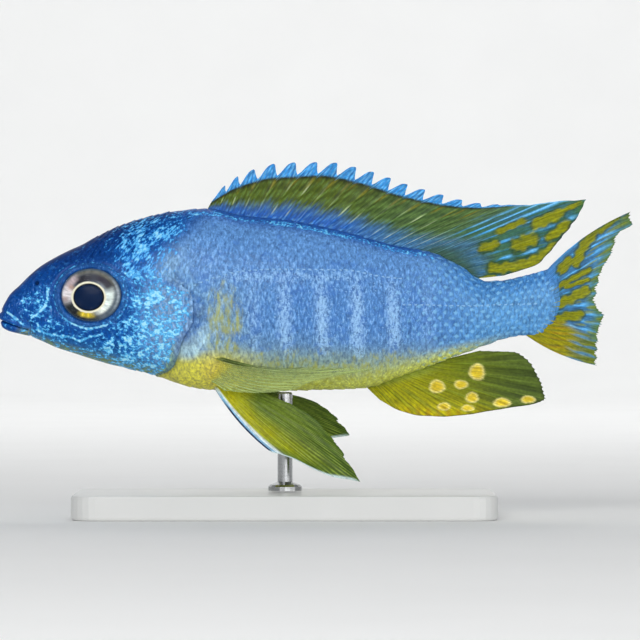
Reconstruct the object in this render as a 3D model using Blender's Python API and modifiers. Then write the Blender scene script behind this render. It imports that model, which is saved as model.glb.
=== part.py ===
"""Peacock cichlid: a still, life-size male on a plain display stand.

Sizes here are in millimetres, and MM turns them into the scene's metres. The fish
looks towards -X, with its left side towards -Y and +Z up. A place on it is given by
s, its distance behind the tip of the snout, y, and z, its height above the floor. The
origin is the middle of the floor under the whole.
"""

import math

import bmesh
import bpy
import numpy as np

MM = 0.001
TOTAL_LENGTH = 126.6
GAP = 0.3

# Body: (s, height of the back, height of the belly, half width), from snout to tail
BODY_STATIONS = (
    (0.4, 41.2, 38.7, 1.6),
    (0.9, 42.7, 38.2, 2.3),
    (2.0, 44.5, 37.5, 3.0),
    (4.0, 46.4, 36.8, 3.5),
    (6.0, 48.4, 36.2, 4.1),
    (8.2, 50.2, 35.3, 4.8),
    (11.6, 52.2, 33.8, 5.7),
    (15.0, 53.9, 32.7, 6.5),
    (18.4, 55.6, 31.6, 7.2),
    (24.0, 58.3, 30.0, 8.0),
    (30.0, 60.2, 28.6, 8.6),
    (36.0, 61.4, 26.5, 8.9),
    (42.0, 61.7, 25.4, 9.0),
    (48.0, 60.4, 25.2, 8.9),
    (58.4, 59.3, 25.3, 8.5),
    (68.0, 57.3, 25.5, 7.8),
    (74.4, 55.6, 26.0, 7.0),
    (78.8, 54.4, 27.6, 6.4),
    (86.4, 52.9, 30.4, 5.2),
    (91.8, 50.4, 32.4, 4.4),
    (97.4, 47.2, 34.4, 3.4),
    (100.5, 47.4, 35.5, 2.9),
    (104.0, 48.1, 36.2, 2.4),
    (108.0, 49.2, 36.1, 1.8),
    (113.0, 50.9, 35.7, 1.3),
)
WIDEST_LEVEL = 0.53
BACK_ROUNDNESS = 2.0
BELLY_ROUNDNESS = 2.3
CHIN_ROUNDNESS = 3.2
CHIN_END = 20.0
RINGS = 54
RING_CROWDING = 1.5
SIDES = 36

# Parting of the body: the gill opening as (z, s), the stalk, and the root of the tail fin
GILL_EDGE = (
    (22.0, 28.5),
    (26.5, 29.6),
    (28.2, 31.8),
    (29.9, 34.6),
    (32.2, 35.8),
    (35.2, 36.7),
    (37.6, 38.0),
    (40.2, 38.9),
    (43.4, 38.8),
    (45.1, 38.0),
    (46.2, 36.6),
    (47.3, 34.8),
    (48.4, 33.8),
    (52.0, 33.2),
    (66.0, 32.6),
)
GILL_EDGE_STEPS = 48
STALK_START = 96.4
TAIL_ROOT = ((34.0, 107.3), (36.1, 108.2), (43.2, 110.8), (49.9, 109.9), (53.0, 108.6))
TAIL_ROOT_STEPS = 14

# Gill covers: plates let into the head, which stand a little proud of the shoulder
COVER_FRONT = ((30.4, 25.5), (33.0, 27.4), (37.0, 28.6), (42.0, 29.0), (46.0, 29.9), (48.0, 32.0))
COVER_INNER_Y = 4.4
COVER_STEPS = 18
COVER_SWELL = 0.5
COVER_SWELL_START = 24.0
COVER_SWELL_END = 36.0

# Mouth, nostrils and eyes
MOUTH_TIP_Z = 39.5
MOUTH_CORNER = (5.6, 37.4)
MOUTH_SLIT = 0.4
LIP_RADIUS = 0.85
LIP_CORNER_RADIUS = 0.35
LIP_SETBACK = 0.85
LIP_POINTS = 25
NOSTRIL = (7.6, 46.8)
NOSTRIL_RADIUS = 0.5
EYE_CENTRE = (18.5, 6.2, 44.3)
EYE_HALF_LENGTH = 6.2
EYE_HALF_HEIGHT = 5.4
EYE_BULGE = 1.9
EYE_DEPTH = 4.0
EYE_YAW = math.radians(10)

# Fins: thickness of the membrane, and of spines and soft rays from root to tip
MEMBRANE = 0.55
SPINE = (1.4, 0.7)
SOFT_RAY = (1.05, 0.6)
RIDGE_FOOT = 0.22
DORSAL_RAYS, DORSAL_SPINES = 26, 16
ANAL_RAYS, ANAL_SPINES = 12, 3
TAIL_RAYS = 17
PECTORAL_RAYS = 13
PELVIC_RAYS = 11

# Stand
BASE_SIZE = (84.0, 40.0, 5.0)
BASE_CORNER = 5.0
BASE_EDGE = 0.6
ROD_S = 57.0
ROD_RADIUS = 1.5
COLLAR_RADIUS = 3.4
COLLAR_HEIGHT = 1.2


def clear_scene():
    for old in list(bpy.data.objects):
        bpy.data.objects.remove(old)


def new_collection(name):
    made = bpy.data.collections.new(name)
    bpy.context.scene.collection.children.link(made)
    return made


clear_scene()
FISH = new_collection("peacock_cichlid")
CUTTERS = new_collection("cutters")
CENTRE = bpy.data.objects.new("centre", None)
FISH.objects.link(CENTRE)


def material(name, colour, roughness, metallic=0.0):
    """A Principled material of one sRGB hex colour."""
    made = bpy.data.materials.new(name)
    made.use_nodes = True
    shader = made.node_tree.nodes["Principled BSDF"]
    channels = [int(colour[i : i + 2], 16) / 255 for i in (1, 3, 5)]
    linear = [c / 12.92 if c <= 0.04045 else ((c + 0.055) / 1.055) ** 2.4 for c in channels]
    shader.inputs["Base Color"].default_value = (*linear, 1)
    shader.inputs["Roughness"].default_value = roughness
    shader.inputs["Metallic"].default_value = metallic
    made.diffuse_color = (*linear, 1)
    return made


def place(s, y, z):
    """The point in metres, in the scene's frame."""
    return ((s - TOTAL_LENGTH / 2) * MM, y * MM, z * MM)


def add_part(name, mesh, finish):
    """Puts a mesh into the fish as one named, smooth-shaded node."""
    mesh.shade_smooth()
    mesh.set_sharp_from_angle(angle=math.radians(40))
    mesh.materials.append(finish)
    made = bpy.data.objects.new(name, mesh)
    FISH.objects.link(made)
    made.parent = CENTRE
    return made


def add_cutter(name, mesh):
    """Puts a mesh aside as a helper that is never rendered."""
    made = bpy.data.objects.new(name, mesh)
    CUTTERS.objects.link(made)
    made.hide_render = True
    made.display_type = "WIRE"
    return made


def boolean(target, operation, other, solver="EXACT"):
    modifier = target.modifiers.new(other.name, "BOOLEAN")
    modifier.solver = solver
    modifier.operation = operation
    modifier.object = other


def smooth(places, values, at):
    """The value at a place on the smooth curve through the given ones, with no overshoot."""
    places, values = np.asarray(places, float), np.asarray(values, float)
    steps = np.diff(places)
    slopes = np.diff(values) / steps
    before, after = slopes[:-1], slopes[1:]
    heavy, light = 2 * steps[1:] + steps[:-1], steps[1:] + 2 * steps[:-1]
    turning = before * after <= 0
    before, after = np.where(turning, 1, before), np.where(turning, 1, after)
    inner = np.where(turning, 0, (heavy + light) / (heavy / before + light / after))
    tangents = np.concatenate([slopes[:1], inner, slopes[-1:]])
    i = int(np.clip(np.searchsorted(places, at) - 1, 0, len(steps) - 1))
    t = (at - places[i]) / steps[i]
    rise = values[i] + (values[i + 1] - values[i]) * t * t * (3 - 2 * t)
    return rise + steps[i] * t * (1 - t) * (tangents[i] * (1 - t) - tangents[i + 1] * t)


def ease(share):
    share = min(max(share, 0), 1)
    return share * share * (3 - 2 * share)


def body_at(s):
    """Back, belly, half width and widest height of the body at s."""
    table = np.array(BODY_STATIONS)
    back, belly, half_width = (smooth(table[:, 0], table[:, i], s) for i in (1, 2, 3))
    return back, belly, half_width, belly + WIDEST_LEVEL * (back - belly)


def belly_roundness(s):
    """How square the lower half of the section is: fuller at the chin than behind."""
    return CHIN_ROUNDNESS + (BELLY_ROUNDNESS - CHIN_ROUNDNESS) * ease(s / CHIN_END)


def flank(s, z):
    """Half width of the body at a height."""
    back, belly, half_width, widest = body_at(s)
    reach, roundness = (back - widest, BACK_ROUNDNESS)
    if z < widest:
        reach, roundness = (widest - belly, belly_roundness(s))
    share = min(abs(z - widest) / reach, 1)
    return half_width * (1 - share**roundness) ** (1 / roundness)


def underside(s, y):
    """Height of the body's lower surface at y off its middle plane."""
    _, belly, half_width, widest = body_at(s)
    share = (1 - min(abs(y) / half_width, 1) ** BELLY_ROUNDNESS) ** (1 / BELLY_ROUNDNESS)
    return widest - (widest - belly) * share


def cover_swell(s, z):
    """How far the gill cover stands proud of the plain body at a place."""
    (low, _), (high, _) = COVER_FRONT[0], COVER_FRONT[-1]
    along = ease((s - COVER_SWELL_START) / (COVER_SWELL_END - COVER_SWELL_START))
    return COVER_SWELL * along * ease((z - low) / 3 + 1) * ease((high - z) / 3 + 1)


def body_mesh(name, with_covers):
    """Loft of the whole body from snout to tail root, with or without swollen gill covers."""
    shape = bmesh.new()
    rings = []
    nose = BODY_STATIONS[0][0]
    for i in range(RINGS):
        s = nose + (BODY_STATIONS[-1][0] - nose) * (i / (RINGS - 1)) ** RING_CROWDING
        back, belly, half_width, widest = body_at(s)
        ring = []
        for j in range(SIDES):
            angle = math.tau * j / SIDES
            across, up = math.cos(angle), math.sin(angle)
            roundness = BACK_ROUNDNESS if up > 0 else belly_roundness(s)
            reach = back - widest if up > 0 else widest - belly
            y = math.copysign(half_width * abs(across) ** (2 / roundness), across)
            z = widest + math.copysign(reach * abs(up) ** (2 / roundness), up)
            if with_covers:
                y += math.copysign(min(cover_swell(s, z), abs(y)), y)
            ring.append(shape.verts.new(place(s, y, z)))
        rings.append(ring)
    for ring, following in zip(rings, rings[1:]):
        for j in range(SIDES):
            k = (j + 1) % SIDES
            shape.faces.new((ring[j], ring[k], following[k], following[j]))
    shape.faces.new(rings[0])
    shape.faces.new(rings[-1])
    return finished(shape, name)


def finished(shape, name):
    """Turns a closed bmesh into a mesh whose faces point out."""
    shape.normal_update()
    bmesh.ops.recalc_face_normals(shape, faces=shape.faces)
    mesh = bpy.data.meshes.new(name)
    shape.to_mesh(mesh)
    shape.free()
    return mesh


def solid_of_curve(curve_object):
    """The welded mesh of a curve object, in place of the curve."""
    bpy.context.view_layer.update()
    graph = bpy.context.evaluated_depsgraph_get()
    mesh = bpy.data.meshes.new_from_object(curve_object.evaluated_get(graph))
    mesh.transform(curve_object.matrix_world)
    shape = bmesh.new()
    shape.from_mesh(mesh)
    bpy.data.objects.remove(curve_object)
    bmesh.ops.remove_doubles(shape, verts=shape.verts, dist=1e-6)
    return finished(shape, mesh.name)


def curve_object(name, points, dimensions):
    curve = bpy.data.curves.new(name, "CURVE")
    curve.dimensions = dimensions
    line = curve.splines.new("POLY")
    line.points.add(len(points) - 1)
    for point, co in zip(line.points, points):
        point.co = (*co, 1)
    made = bpy.data.objects.new(name, curve)
    CUTTERS.objects.link(made)
    return made, curve, line


def side_prism(name, outline, y_from, y_to):
    """A closed outline in the side view, of (s, z), carried across the body."""
    points = [((s - TOTAL_LENGTH / 2) * MM, z * MM, 0) for s, z in outline]
    made, curve, line = curve_object(name, points, "2D")
    line.use_cyclic_u = True
    curve.fill_mode = "BOTH"
    curve.extrude = (y_to - y_from) / 2 * MM
    made.rotation_euler.x = math.radians(90)
    made.location.y = (y_from + y_to) / 2 * MM
    return add_cutter(name, solid_of_curve(made))


def edge_points(knots, low, high, steps, shift=0.0):
    """Points of (s, z) up an edge that knots of (z, s) describe, moved back by shift."""
    heights, backs = zip(*knots)
    return [(smooth(heights, backs, z) + shift, z) for z in np.linspace(low, high, steps)]


def body_parts():
    """Head, gill covers, torso and tail stalk: one lofted body parted with thin cuts."""
    reach = 15
    low, high = GILL_EDGE[0][0], GILL_EDGE[-1][0]
    blue_head = material("head skin", "#2f6fb0", 0.45)
    blue_cover = material("gill cover skin", "#5f9fd2", 0.4)
    blue_flank = material("flank skin", "#6a97cc", 0.45)
    blue_stalk = material("tail stalk skin", "#5f98cc", 0.45)

    gill = edge_points(GILL_EDGE, low, high, GILL_EDGE_STEPS)
    gill_behind = [(s + 1.1 * GAP, z + 0.6 * GAP) for s, z in gill]
    tail_root = edge_points(TAIL_ROOT, TAIL_ROOT[0][0], TAIL_ROOT[-1][0], TAIL_ROOT_STEPS)
    ahead = side_prism("front_of_gills", [(-reach, high), (-reach, low), *gill], -reach, reach)
    torso_back = [(STALK_START, high + 1), (STALK_START, low)]
    behind = side_prism("behind_gills", [*gill_behind, *torso_back], -reach, reach)
    stalk_front = [(STALK_START + GAP, tail_root[-1][1]), (STALK_START + GAP, tail_root[0][1])]
    stalk = side_prism("stalk_length", [*stalk_front, *tail_root], -reach, reach)

    head = add_part("head", body_mesh("head", True), blue_head)
    boolean(head, "INTERSECT", ahead)
    torso = add_part("torso", body_mesh("torso", False), blue_flank)
    boolean(torso, "INTERSECT", behind)
    tail_stalk = add_part("tail_stalk", torso.data.copy(), blue_stalk)
    tail_stalk.data.materials[0] = blue_stalk
    boolean(tail_stalk, "INTERSECT", stalk)

    lower, upper = COVER_FRONT[0][0], COVER_FRONT[-1][0]
    front = edge_points(COVER_FRONT, lower, upper, COVER_STEPS)
    back = edge_points(GILL_EDGE, lower, upper, COVER_STEPS)
    around = edge_points(COVER_FRONT, lower, upper, COVER_STEPS, -GAP)
    around = [(around[0][0], lower - GAP), *around, (around[-1][0], upper + GAP)]
    past = [(reach * 3, upper + GAP), (reach * 3, lower - GAP)]
    for side, sign in (("left", -1), ("right", 1)):
        span = sorted((sign * COVER_INNER_Y, sign * reach))
        bed_span = sorted((sign * (COVER_INNER_Y - GAP), sign * reach))
        plate = side_prism(f"cover_outline_{side}", [*front, *back[::-1]], *span)
        bed = side_prism(f"cover_bed_{side}", [*around, *past], *bed_span)
        cover = add_part(f"gill_cover_{side}", body_mesh(f"gill_cover_{side}", True), blue_cover)
        boolean(cover, "INTERSECT", plate)
        boolean(head, "DIFFERENCE", bed)
    return head


def mouth_level(s):
    """Height of the closed mouth's line at s."""
    corner_s, corner_z = MOUTH_CORNER
    return MOUTH_TIP_Z + (corner_z - MOUTH_TIP_Z) * (s / corner_s) ** 0.8


def lip(name, sign):
    """A tapered tube round the jaw, whose ends sink into the corners of the mouth."""
    points, radii = [], []
    for i in range(LIP_POINTS):
        turn = math.pi * (i / (LIP_POINTS - 1) - 0.5)
        forward = math.cos(turn)
        s = LIP_SETBACK + (MOUTH_CORNER[0] + 0.4 - LIP_SETBACK) * (1 - forward)
        radius = LIP_CORNER_RADIUS + (LIP_RADIUS - LIP_CORNER_RADIUS) * forward
        height = mouth_level(s) + sign * 0.9 * radius
        out = flank(s, height) - 0.5 * ease(1 - 4 * forward)
        y = math.copysign(out * abs(math.sin(turn)) ** 0.7, turn)
        points.append(place(s, y, height))
        radii.append(radius)
    made, curve, line = curve_object(name, points, "3D")
    curve.bevel_depth = MM
    curve.bevel_resolution = 2
    curve.use_fill_caps = True
    for point, radius in zip(line.points, radii):
        point.radius = radius
    return add_cutter(name, solid_of_curve(made))


def face(head):
    """Lips, the line of the mouth and the nostrils."""
    boolean(head, "UNION", lip("upper_lip", 1), "MANIFOLD")
    boolean(head, "UNION", lip("lower_lip", -1), "MANIFOLD")
    steps = [MOUTH_CORNER[0] * i / 6 for i in range(7)]
    upper = [(s, mouth_level(s) + MOUTH_SLIT / 2 * (1 - s / steps[-1])) for s in steps]
    lower = [(s, mouth_level(s) - MOUTH_SLIT / 2 * (1 - s / steps[-1])) for s in steps[:-1]]
    opening = [(-1, upper[0][1]), *upper, *lower[::-1], (-1, lower[0][1])]
    boolean(head, "DIFFERENCE", side_prism("mouth_slit", opening, -6, 6))
    for side, sign in (("left", -1), ("right", 1)):
        pit = bmesh.new()
        bmesh.ops.create_icosphere(pit, subdivisions=2, radius=NOSTRIL_RADIUS * MM)
        s, z = NOSTRIL
        bmesh.ops.translate(pit, verts=pit.verts, vec=place(s, sign * flank(s, z), z))
        boolean(head, "DIFFERENCE", add_cutter(f"nostril_{side}", finished(pit, "nostril")))


def eyeball(name, sign, grown):
    """A ball flattened at the front, on its own axis, grown all round by a clearance."""
    ball = bmesh.new()
    bmesh.ops.create_uvsphere(ball, u_segments=24, v_segments=10, radius=1)
    s, y, z = EYE_CENTRE
    for vert in ball.verts:
        along, up, out = vert.co.x, vert.co.y, vert.co.z
        out *= (EYE_BULGE if out > 0 else EYE_DEPTH) + grown
        along *= EYE_HALF_LENGTH + grown
        turned = along * math.cos(EYE_YAW) - out * math.sin(EYE_YAW)
        depth = y + out * math.cos(EYE_YAW) + along * math.sin(EYE_YAW)
        vert.co = place(s + turned, sign * depth, z + up * (EYE_HALF_HEIGHT + grown))
    return finished(ball, name)


def eyes(head):
    iris = material("iris", "#c9cdbf", 0.2)
    for side, sign in (("left", -1), ("right", 1)):
        add_part(f"eye_{side}", eyeball(f"eye_{side}", sign, 0), iris)
        orbit = add_cutter(f"orbit_{side}", eyeball("orbit", sign, GAP))
        boolean(head, "DIFFERENCE", orbit)


def through(knots):
    """The point at any ray number on the curve through knots of (ray, s, y, z)."""
    table = np.array(knots, float)
    return lambda ray: np.array([smooth(table[:, 0], table[:, i], ray) for i in (1, 2, 3)])


def ray_columns(rays):
    """Ray numbers of a fin's columns: foot, crest and foot of each ray, and the mid membrane."""
    columns = []
    for ray in range(rays):
        columns += [ray - RIDGE_FOOT, ray, ray + RIDGE_FOOT, ray + 0.5]
    return columns[1:-2]


def no_bow(ray):
    return 0


def fin(name, rays, spines, rows, root, edge, notches, finish, flesh=0.0, bow=no_bow):
    """A membrane with a ridge on both faces for each ray, from its root to its edge.

    The edge is cut back between spines by the first of the notches and between soft
    rays by the second. The membrane is thicker by flesh at its root, and bow bends a
    ray by that much halfway along, towards the back of the fish.
    """
    columns = ray_columns(rays)
    sheet = bmesh.new()
    bmesh.ops.create_grid(sheet, x_segments=len(columns) - 1, y_segments=rows, size=0.5)
    widths = []
    for vert in sheet.verts:
        ray = columns[round((vert.co.x + 0.5) * (len(columns) - 1))]
        share = round((vert.co.y + 0.5) * rows) / rows
        off_ray = 2 * abs(ray - round(ray)) if ray % 1 else 0
        spiny = round(ray - 0.1) < spines
        start, end = root(ray), edge(ray)
        length = np.linalg.norm(end - start)
        reach = share * (1 - notches[0 if spiny else 1] * off_ray / length)
        up = np.array([start[2] - end[2], 0, end[0] - start[0]]) / length
        bent = start + (end - start) * reach + up * bow(ray) * 4 * reach * (1 - reach)
        vert.co = place(*bent)
        thick, thin = SPINE if spiny else SOFT_RAY
        ridge = thick + (thin - thick) * share
        widths.append((ridge if share and not off_ray else MEMBRANE) + flesh * (1 - share) ** 2)
    mesh = bpy.data.meshes.new(name)
    sheet.to_mesh(mesh)
    sheet.free()
    made = add_part(name, mesh, finish)
    group = made.vertex_groups.new(name="thickness")
    for index, width in enumerate(widths):
        group.add([index], width / max(widths), "REPLACE")
    made.modifiers.new("split alike on both faces", "TRIANGULATE")
    walls = made.modifiers.new("thickness", "SOLIDIFY")
    walls.thickness = max(widths) * MM
    walls.offset = 0
    walls.vertex_group = group.name
    return made


def values(knots):
    """The value at any ray number on the curve through knots of (ray, value)."""
    places, heights = zip(*knots)
    return lambda ray: smooth(places, heights, ray)


def dorsal_fin():
    """Sixteen spines, each with its lappet, and ten soft rays drawn out to a point."""
    olive = material("dorsal membrane", "#566a3c", 0.5)
    root_s = values([(0, 41.6), (1, 43.6), (15, 80.3), (25, 95.7)])

    def on_back(ray):
        return np.array([root_s(ray), 0, body_at(root_s(ray))[0] + GAP])

    edge = through(
        [
            (0, 43.7, 0, 65.8),
            (2, 49.0, 0, 68.9),
            (4, 56.9, 0.1, 70.9),
            (6, 65.4, 0.1, 71.0),
            (8, 73.0, 0.1, 69.5),
            (11, 83.2, 0, 66.0),
            (15, 97.8, -0.3, 62.6),
            (17, 104.6, -0.6, 62.4),
            (19, 112.0, -0.8, 63.2),
            (20, 117.2, -0.8, 63.5),
            (21, 115.6, -0.5, 60.2),
            (23, 111.2, 0, 54.5),
            (24, 107.6, 0.1, 50.6),
            (25, 100.8, 0, 48.3),
        ]
    )
    notches = (1.5, 0.3)
    fin("dorsal_fin", DORSAL_RAYS, DORSAL_SPINES, 5, on_back, edge, notches, olive)


def anal_fin():
    """Three spines and nine soft rays under the rear of the belly."""
    green = material("anal membrane", "#7a8030", 0.5)
    root_s = values([(0, 73.4), (ANAL_RAYS - 1, 90.4)])

    def under_belly(ray):
        return np.array([root_s(ray), 0, body_at(root_s(ray))[1] - GAP])

    edge = through(
        [
            (0, 76.4, 0, 23.2),
            (1, 80.0, 0, 21.3),
            (2, 84.2, 0, 20.3),
            (3, 89.0, 0, 20.1),
            (5, 100.0, 0.3, 21.5),
            (7, 109.2, 0.5, 23.7),
            (8, 108.4, 0.4, 26.8),
            (10, 103.0, 0, 33.0),
            (11, 96.0, 0, 33.3),
        ]
    )
    fin("anal_fin", ANAL_RAYS, ANAL_SPINES, 5, under_belly, edge, (0.8, 0.3), green)


def tail_fin():
    """Branched rays that fan from the end of the stalk, the upper lobe the longer."""
    olive_blue = material("tail membrane", "#5f8373", 0.5)
    heights, backs = zip(*TAIL_ROOT)
    last = TAIL_RAYS - 1
    fan_top, fan_bottom = 49.8, 36.7
    fan = [fan_top + (fan_bottom - fan_top) * ray / (last - 1) for ray in range(last)]
    knots = [(ray, smooth(heights, backs, z) + GAP, 0, z) for ray, z in enumerate(fan)]
    below_stalk = body_at(106)[1] - 1.4 * GAP
    root = through([*knots, (last - 0.5, knots[-1][1], 0, below_stalk), (last, 106, 0, below_stalk)])
    edge = through(
        [
            (0, 126.2, 0.8, 61.1),
            (1, 126.6, 0.8, 58.6),
            (2, 124.0, 0.8, 57.0),
            (4, 122.6, 0.6, 53.0),
            (6, 120.4, 0.2, 49.0),
            (9, 119.2, -0.4, 42.6),
            (10, 120.9, -0.5, 40.4),
            (12, 119.8, -0.6, 36.8),
            (16, 119.4, -0.4, 30.3),
        ]
    )
    bow = values([(0, 1.2), (5, 0.3), (12, 0), (16, -0.9)])
    fin("caudal_fin", TAIL_RAYS, 0, 6, root, edge, (0, 0.6), olive_blue, 0.6, bow)


def pectoral_fins():
    """Long clear fins that lie back along the flanks from a short root behind the gills."""
    straw = material("pectoral membrane", "#a9b65a", 0.4)
    root_s = values([(0, 41.6), (PECTORAL_RAYS - 1, 42.5)])
    root_z = values([(0, 32.9), (PECTORAL_RAYS - 1, 27.4)])
    bow = values([(0, -1.2), (2, -2.0), (6, -1.5), (12, 0)])
    for side, sign in (("left", -1), ("right", 1)):

        def on_flank(ray, sign=sign):
            s, z = root_s(ray), root_z(ray)
            return np.array([s, sign * (flank(s, z) + 3 * GAP), z])

        edge = through(
            [
                (0, 60.0, sign * 9.2, 30.0),
                (1, 68.0, sign * 8.9, 29.9),
                (2, 74.4, sign * 8.4, 29.6),
                (4, 68.4, sign * 8.2, 28.6),
                (6, 62.0, sign * 7.9, 27.0),
                (8, 58.0, sign * 7.6, 25.4),
                (10, 51.0, sign * 7.2, 24.9),
                (12, 45.0, sign * 6.2, 25.3),
            ]
        )
        name = f"pectoral_fin_{side}"
        fin(name, PECTORAL_RAYS, 0, 5, on_flank, edge, (0, 0.2), straw, 0.3, bow)


def pelvic_fins():
    """A spine and branched soft rays each, spread to the side, the right one wider."""
    moss = material("pelvic membrane", "#70803a", 0.45)
    last = PELVIC_RAYS - 1
    root_s = values([(0, 43.2), (last, 49.4)])
    root_y = values([(0, 3.0), (last, 2.2)])
    left = through(
        [
            (0, 54.2, -6.6, 13.2),
            (1, 58.0, -7.2, 12.1),
            (3, 66.6, -7.9, 8.3),
            (4, 72.0, -8.1, 7.3),
            (5, 70.2, -7.6, 10.6),
            (7, 66.4, -6.0, 16.0),
            (9, 61.0, -4.3, 21.2),
            (10, 55.4, -3.2, 23.4),
        ]
    )
    right = through(
        [
            (0, 54.6, 9.4, 17.8),
            (1, 58.6, 11.3, 16.6),
            (3, 66.0, 14.6, 15.4),
            (4, 70.0, 15.6, 16.0),
            (5, 68.8, 14.0, 18.0),
            (7, 65.6, 10.6, 21.2),
            (9, 61.0, 7.0, 23.6),
            (10, 55.2, 4.6, 24.4),
        ]
    )
    bow = values([(0, -1.0), (2, -0.6), (5, 0.4), (10, 0.4)])
    for side, sign, edge in (("left", -1, left), ("right", 1, right)):

        def on_belly(ray, sign=sign):
            s, y = root_s(ray), root_y(ray)
            return np.array([s, sign * y, underside(s, y) - 1.7 * GAP])

        name = f"pelvic_fin_{side}"
        fin(name, PELVIC_RAYS, 1, 5, on_belly, edge, (0.6, 0.3), moss, 0.3, bow)


def stand():
    """A flat base and one rod that ends just under the belly."""
    lacquer = material("base lacquer", "#d6d7d5", 0.4)
    steel = material("rod steel", "#b9bcbf", 0.25, 1.0)
    length, width, height = BASE_SIZE
    slab = bmesh.new()
    bmesh.ops.create_cube(slab, size=1)
    bmesh.ops.scale(slab, verts=slab.verts, vec=[side * MM for side in BASE_SIZE])
    bmesh.ops.translate(slab, verts=slab.verts, vec=place(ROD_S, 0, height / 2))
    upright = [e for e in slab.edges if abs(e.verts[0].co.z - e.verts[1].co.z) > MM]
    bmesh.ops.bevel(slab, geom=upright, offset=BASE_CORNER * MM, segments=6, affect="EDGES", profile=0.5)
    base = add_part("stand_base", finished(slab, "stand_base"), lacquer)
    edges = base.modifiers.new("broken edges", "BEVEL")
    edges.width = BASE_EDGE * MM
    edges.segments = 2
    edges.angle_limit = math.radians(60)

    foot, top = height + GAP, body_at(ROD_S)[1] - GAP
    profile = [
        (0, top),
        (ROD_RADIUS - 0.3, top),
        (ROD_RADIUS, top - 0.3),
        (ROD_RADIUS, foot + COLLAR_HEIGHT + 0.6),
        (COLLAR_RADIUS - 0.4, foot + COLLAR_HEIGHT),
        (COLLAR_RADIUS, foot + COLLAR_HEIGHT - 0.4),
        (COLLAR_RADIUS, foot),
        (0, foot),
    ]
    outline = bmesh.new()
    corners = [outline.verts.new((radius * MM, 0, z * MM)) for radius, z in profile]
    for one, two in zip(corners, corners[1:]):
        outline.edges.new((one, two))
    mesh = bpy.data.meshes.new("stand_rod")
    outline.to_mesh(mesh)
    outline.free()
    rod = add_part("stand_rod", mesh, steel)
    rod.location.x = (ROD_S - TOTAL_LENGTH / 2) * MM
    turn = rod.modifiers.new("turned", "SCREW")
    turn.steps = turn.render_steps = 20
    turn.use_merge_vertices = True
    turn.merge_threshold = 1e-5


head_node = body_parts()
face(head_node)
eyes(head_node)
dorsal_fin()
anal_fin()
tail_fin()
pectoral_fins()
pelvic_fins()
stand()
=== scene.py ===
"""Peacock cichlid: a life-size museum model of a male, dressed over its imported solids.

Sizes are in millimetres until a mesh is made, and MM turns them into metres. A place on
the fish is given by s, its distance behind the tip of the snout, y, and z, its height
above the floor. The fish looks towards -X, with its left side towards -Y.
"""

import math

import bmesh
import bpy
import numpy as np
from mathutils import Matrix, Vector


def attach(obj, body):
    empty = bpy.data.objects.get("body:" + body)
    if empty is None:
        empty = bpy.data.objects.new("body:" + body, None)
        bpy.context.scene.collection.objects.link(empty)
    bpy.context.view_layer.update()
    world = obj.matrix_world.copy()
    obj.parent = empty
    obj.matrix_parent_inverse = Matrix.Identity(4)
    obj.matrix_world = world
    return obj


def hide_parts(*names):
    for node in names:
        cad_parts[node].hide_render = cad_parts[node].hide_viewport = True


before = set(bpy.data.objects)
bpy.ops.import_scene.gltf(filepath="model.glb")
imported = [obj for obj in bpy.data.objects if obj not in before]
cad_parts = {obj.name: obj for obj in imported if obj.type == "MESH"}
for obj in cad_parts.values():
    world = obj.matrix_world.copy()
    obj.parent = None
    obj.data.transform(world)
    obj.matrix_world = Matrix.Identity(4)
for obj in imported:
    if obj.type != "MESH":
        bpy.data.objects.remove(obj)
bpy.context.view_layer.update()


# Stand base
# The board is MDF, 84 by 40 mm, with rounded corners and a broken edge. It is sprayed
# with a satin lacquer, whose fine orange peel shows only in the highlights.
MM = 0.001
ORANGE_PEEL = 0.9  # size of its grain


def linear(colour):
    """Linear RGBA of an sRGB hex colour."""
    channels = [int(colour[i : i + 2], 16) / 255 for i in (1, 3, 5)]
    return (*(c / 12.92 if c <= 0.04045 else ((c + 0.055) / 1.055) ** 2.4 for c in channels), 1)


def set_inputs(node, inputs):
    """Sets or links inputs of a node, by name or number."""
    for socket, value in inputs.items():
        if isinstance(value, bpy.types.NodeSocket):
            node.id_data.links.new(value, node.inputs[socket])
        else:
            node.inputs[socket].default_value = value


def add_node(tree, kind, inputs, **settings):
    """Adds a node with its settings and inputs, and gives its outputs.

    A kind without a family in its name is a shader node.
    """
    made = tree.nodes.new(kind if "Node" in kind else "ShaderNode" + kind)
    for name, value in settings.items():
        setattr(made, name, value)
    set_inputs(made, inputs)
    return made.outputs


def new_material(name, inputs):
    """A Principled material with these inputs, and its tree, shader and place in mm."""
    made = bpy.data.materials.new(name)
    made.use_nodes = True
    tree = made.node_tree
    shader = tree.nodes["Principled BSDF"]
    set_inputs(shader, inputs)
    place = add_node(tree, "TexCoord", {})["Object"]
    place_mm = add_node(tree, "VectorMath", {0: place, 1: (1 / MM,) * 3}, operation="MULTIPLY")[0]
    return made, tree, shader, place_mm


def dress(mesh, finish):
    """Gives a mesh one finish, in place of any that it had."""
    mesh.materials.clear()
    mesh.materials.append(finish)


# Satin lacquer on board, sprayed: an even pale grey, with a soft sheen
finish = {"Roughness": 0.36, "Coat Weight": 0.15}
lacquer, tree, shader, place_mm = new_material("satin lacquer", finish)
shade = add_node(tree, "TexNoise", {"Vector": place_mm, "Scale": 0.05, "Detail": 3})["Fac"]
inputs = {0: shade, 6: linear("#d3d4d2"), 7: linear("#dededc")}
tint = add_node(tree, "Mix", inputs, data_type="RGBA")[2]
inputs = {"Vector": place_mm, "Scale": 1 / ORANGE_PEEL, "Detail": 2}
peel = add_node(tree, "TexNoise", inputs)["Fac"]
bump = add_node(tree, "Bump", {"Height": peel, "Strength": 0.06, "Distance": 0.1 * MM})[0]
set_inputs(shader, {"Base Color": tint, "Normal": bump})
dress(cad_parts["stand_base"].data, lacquer)


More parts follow.
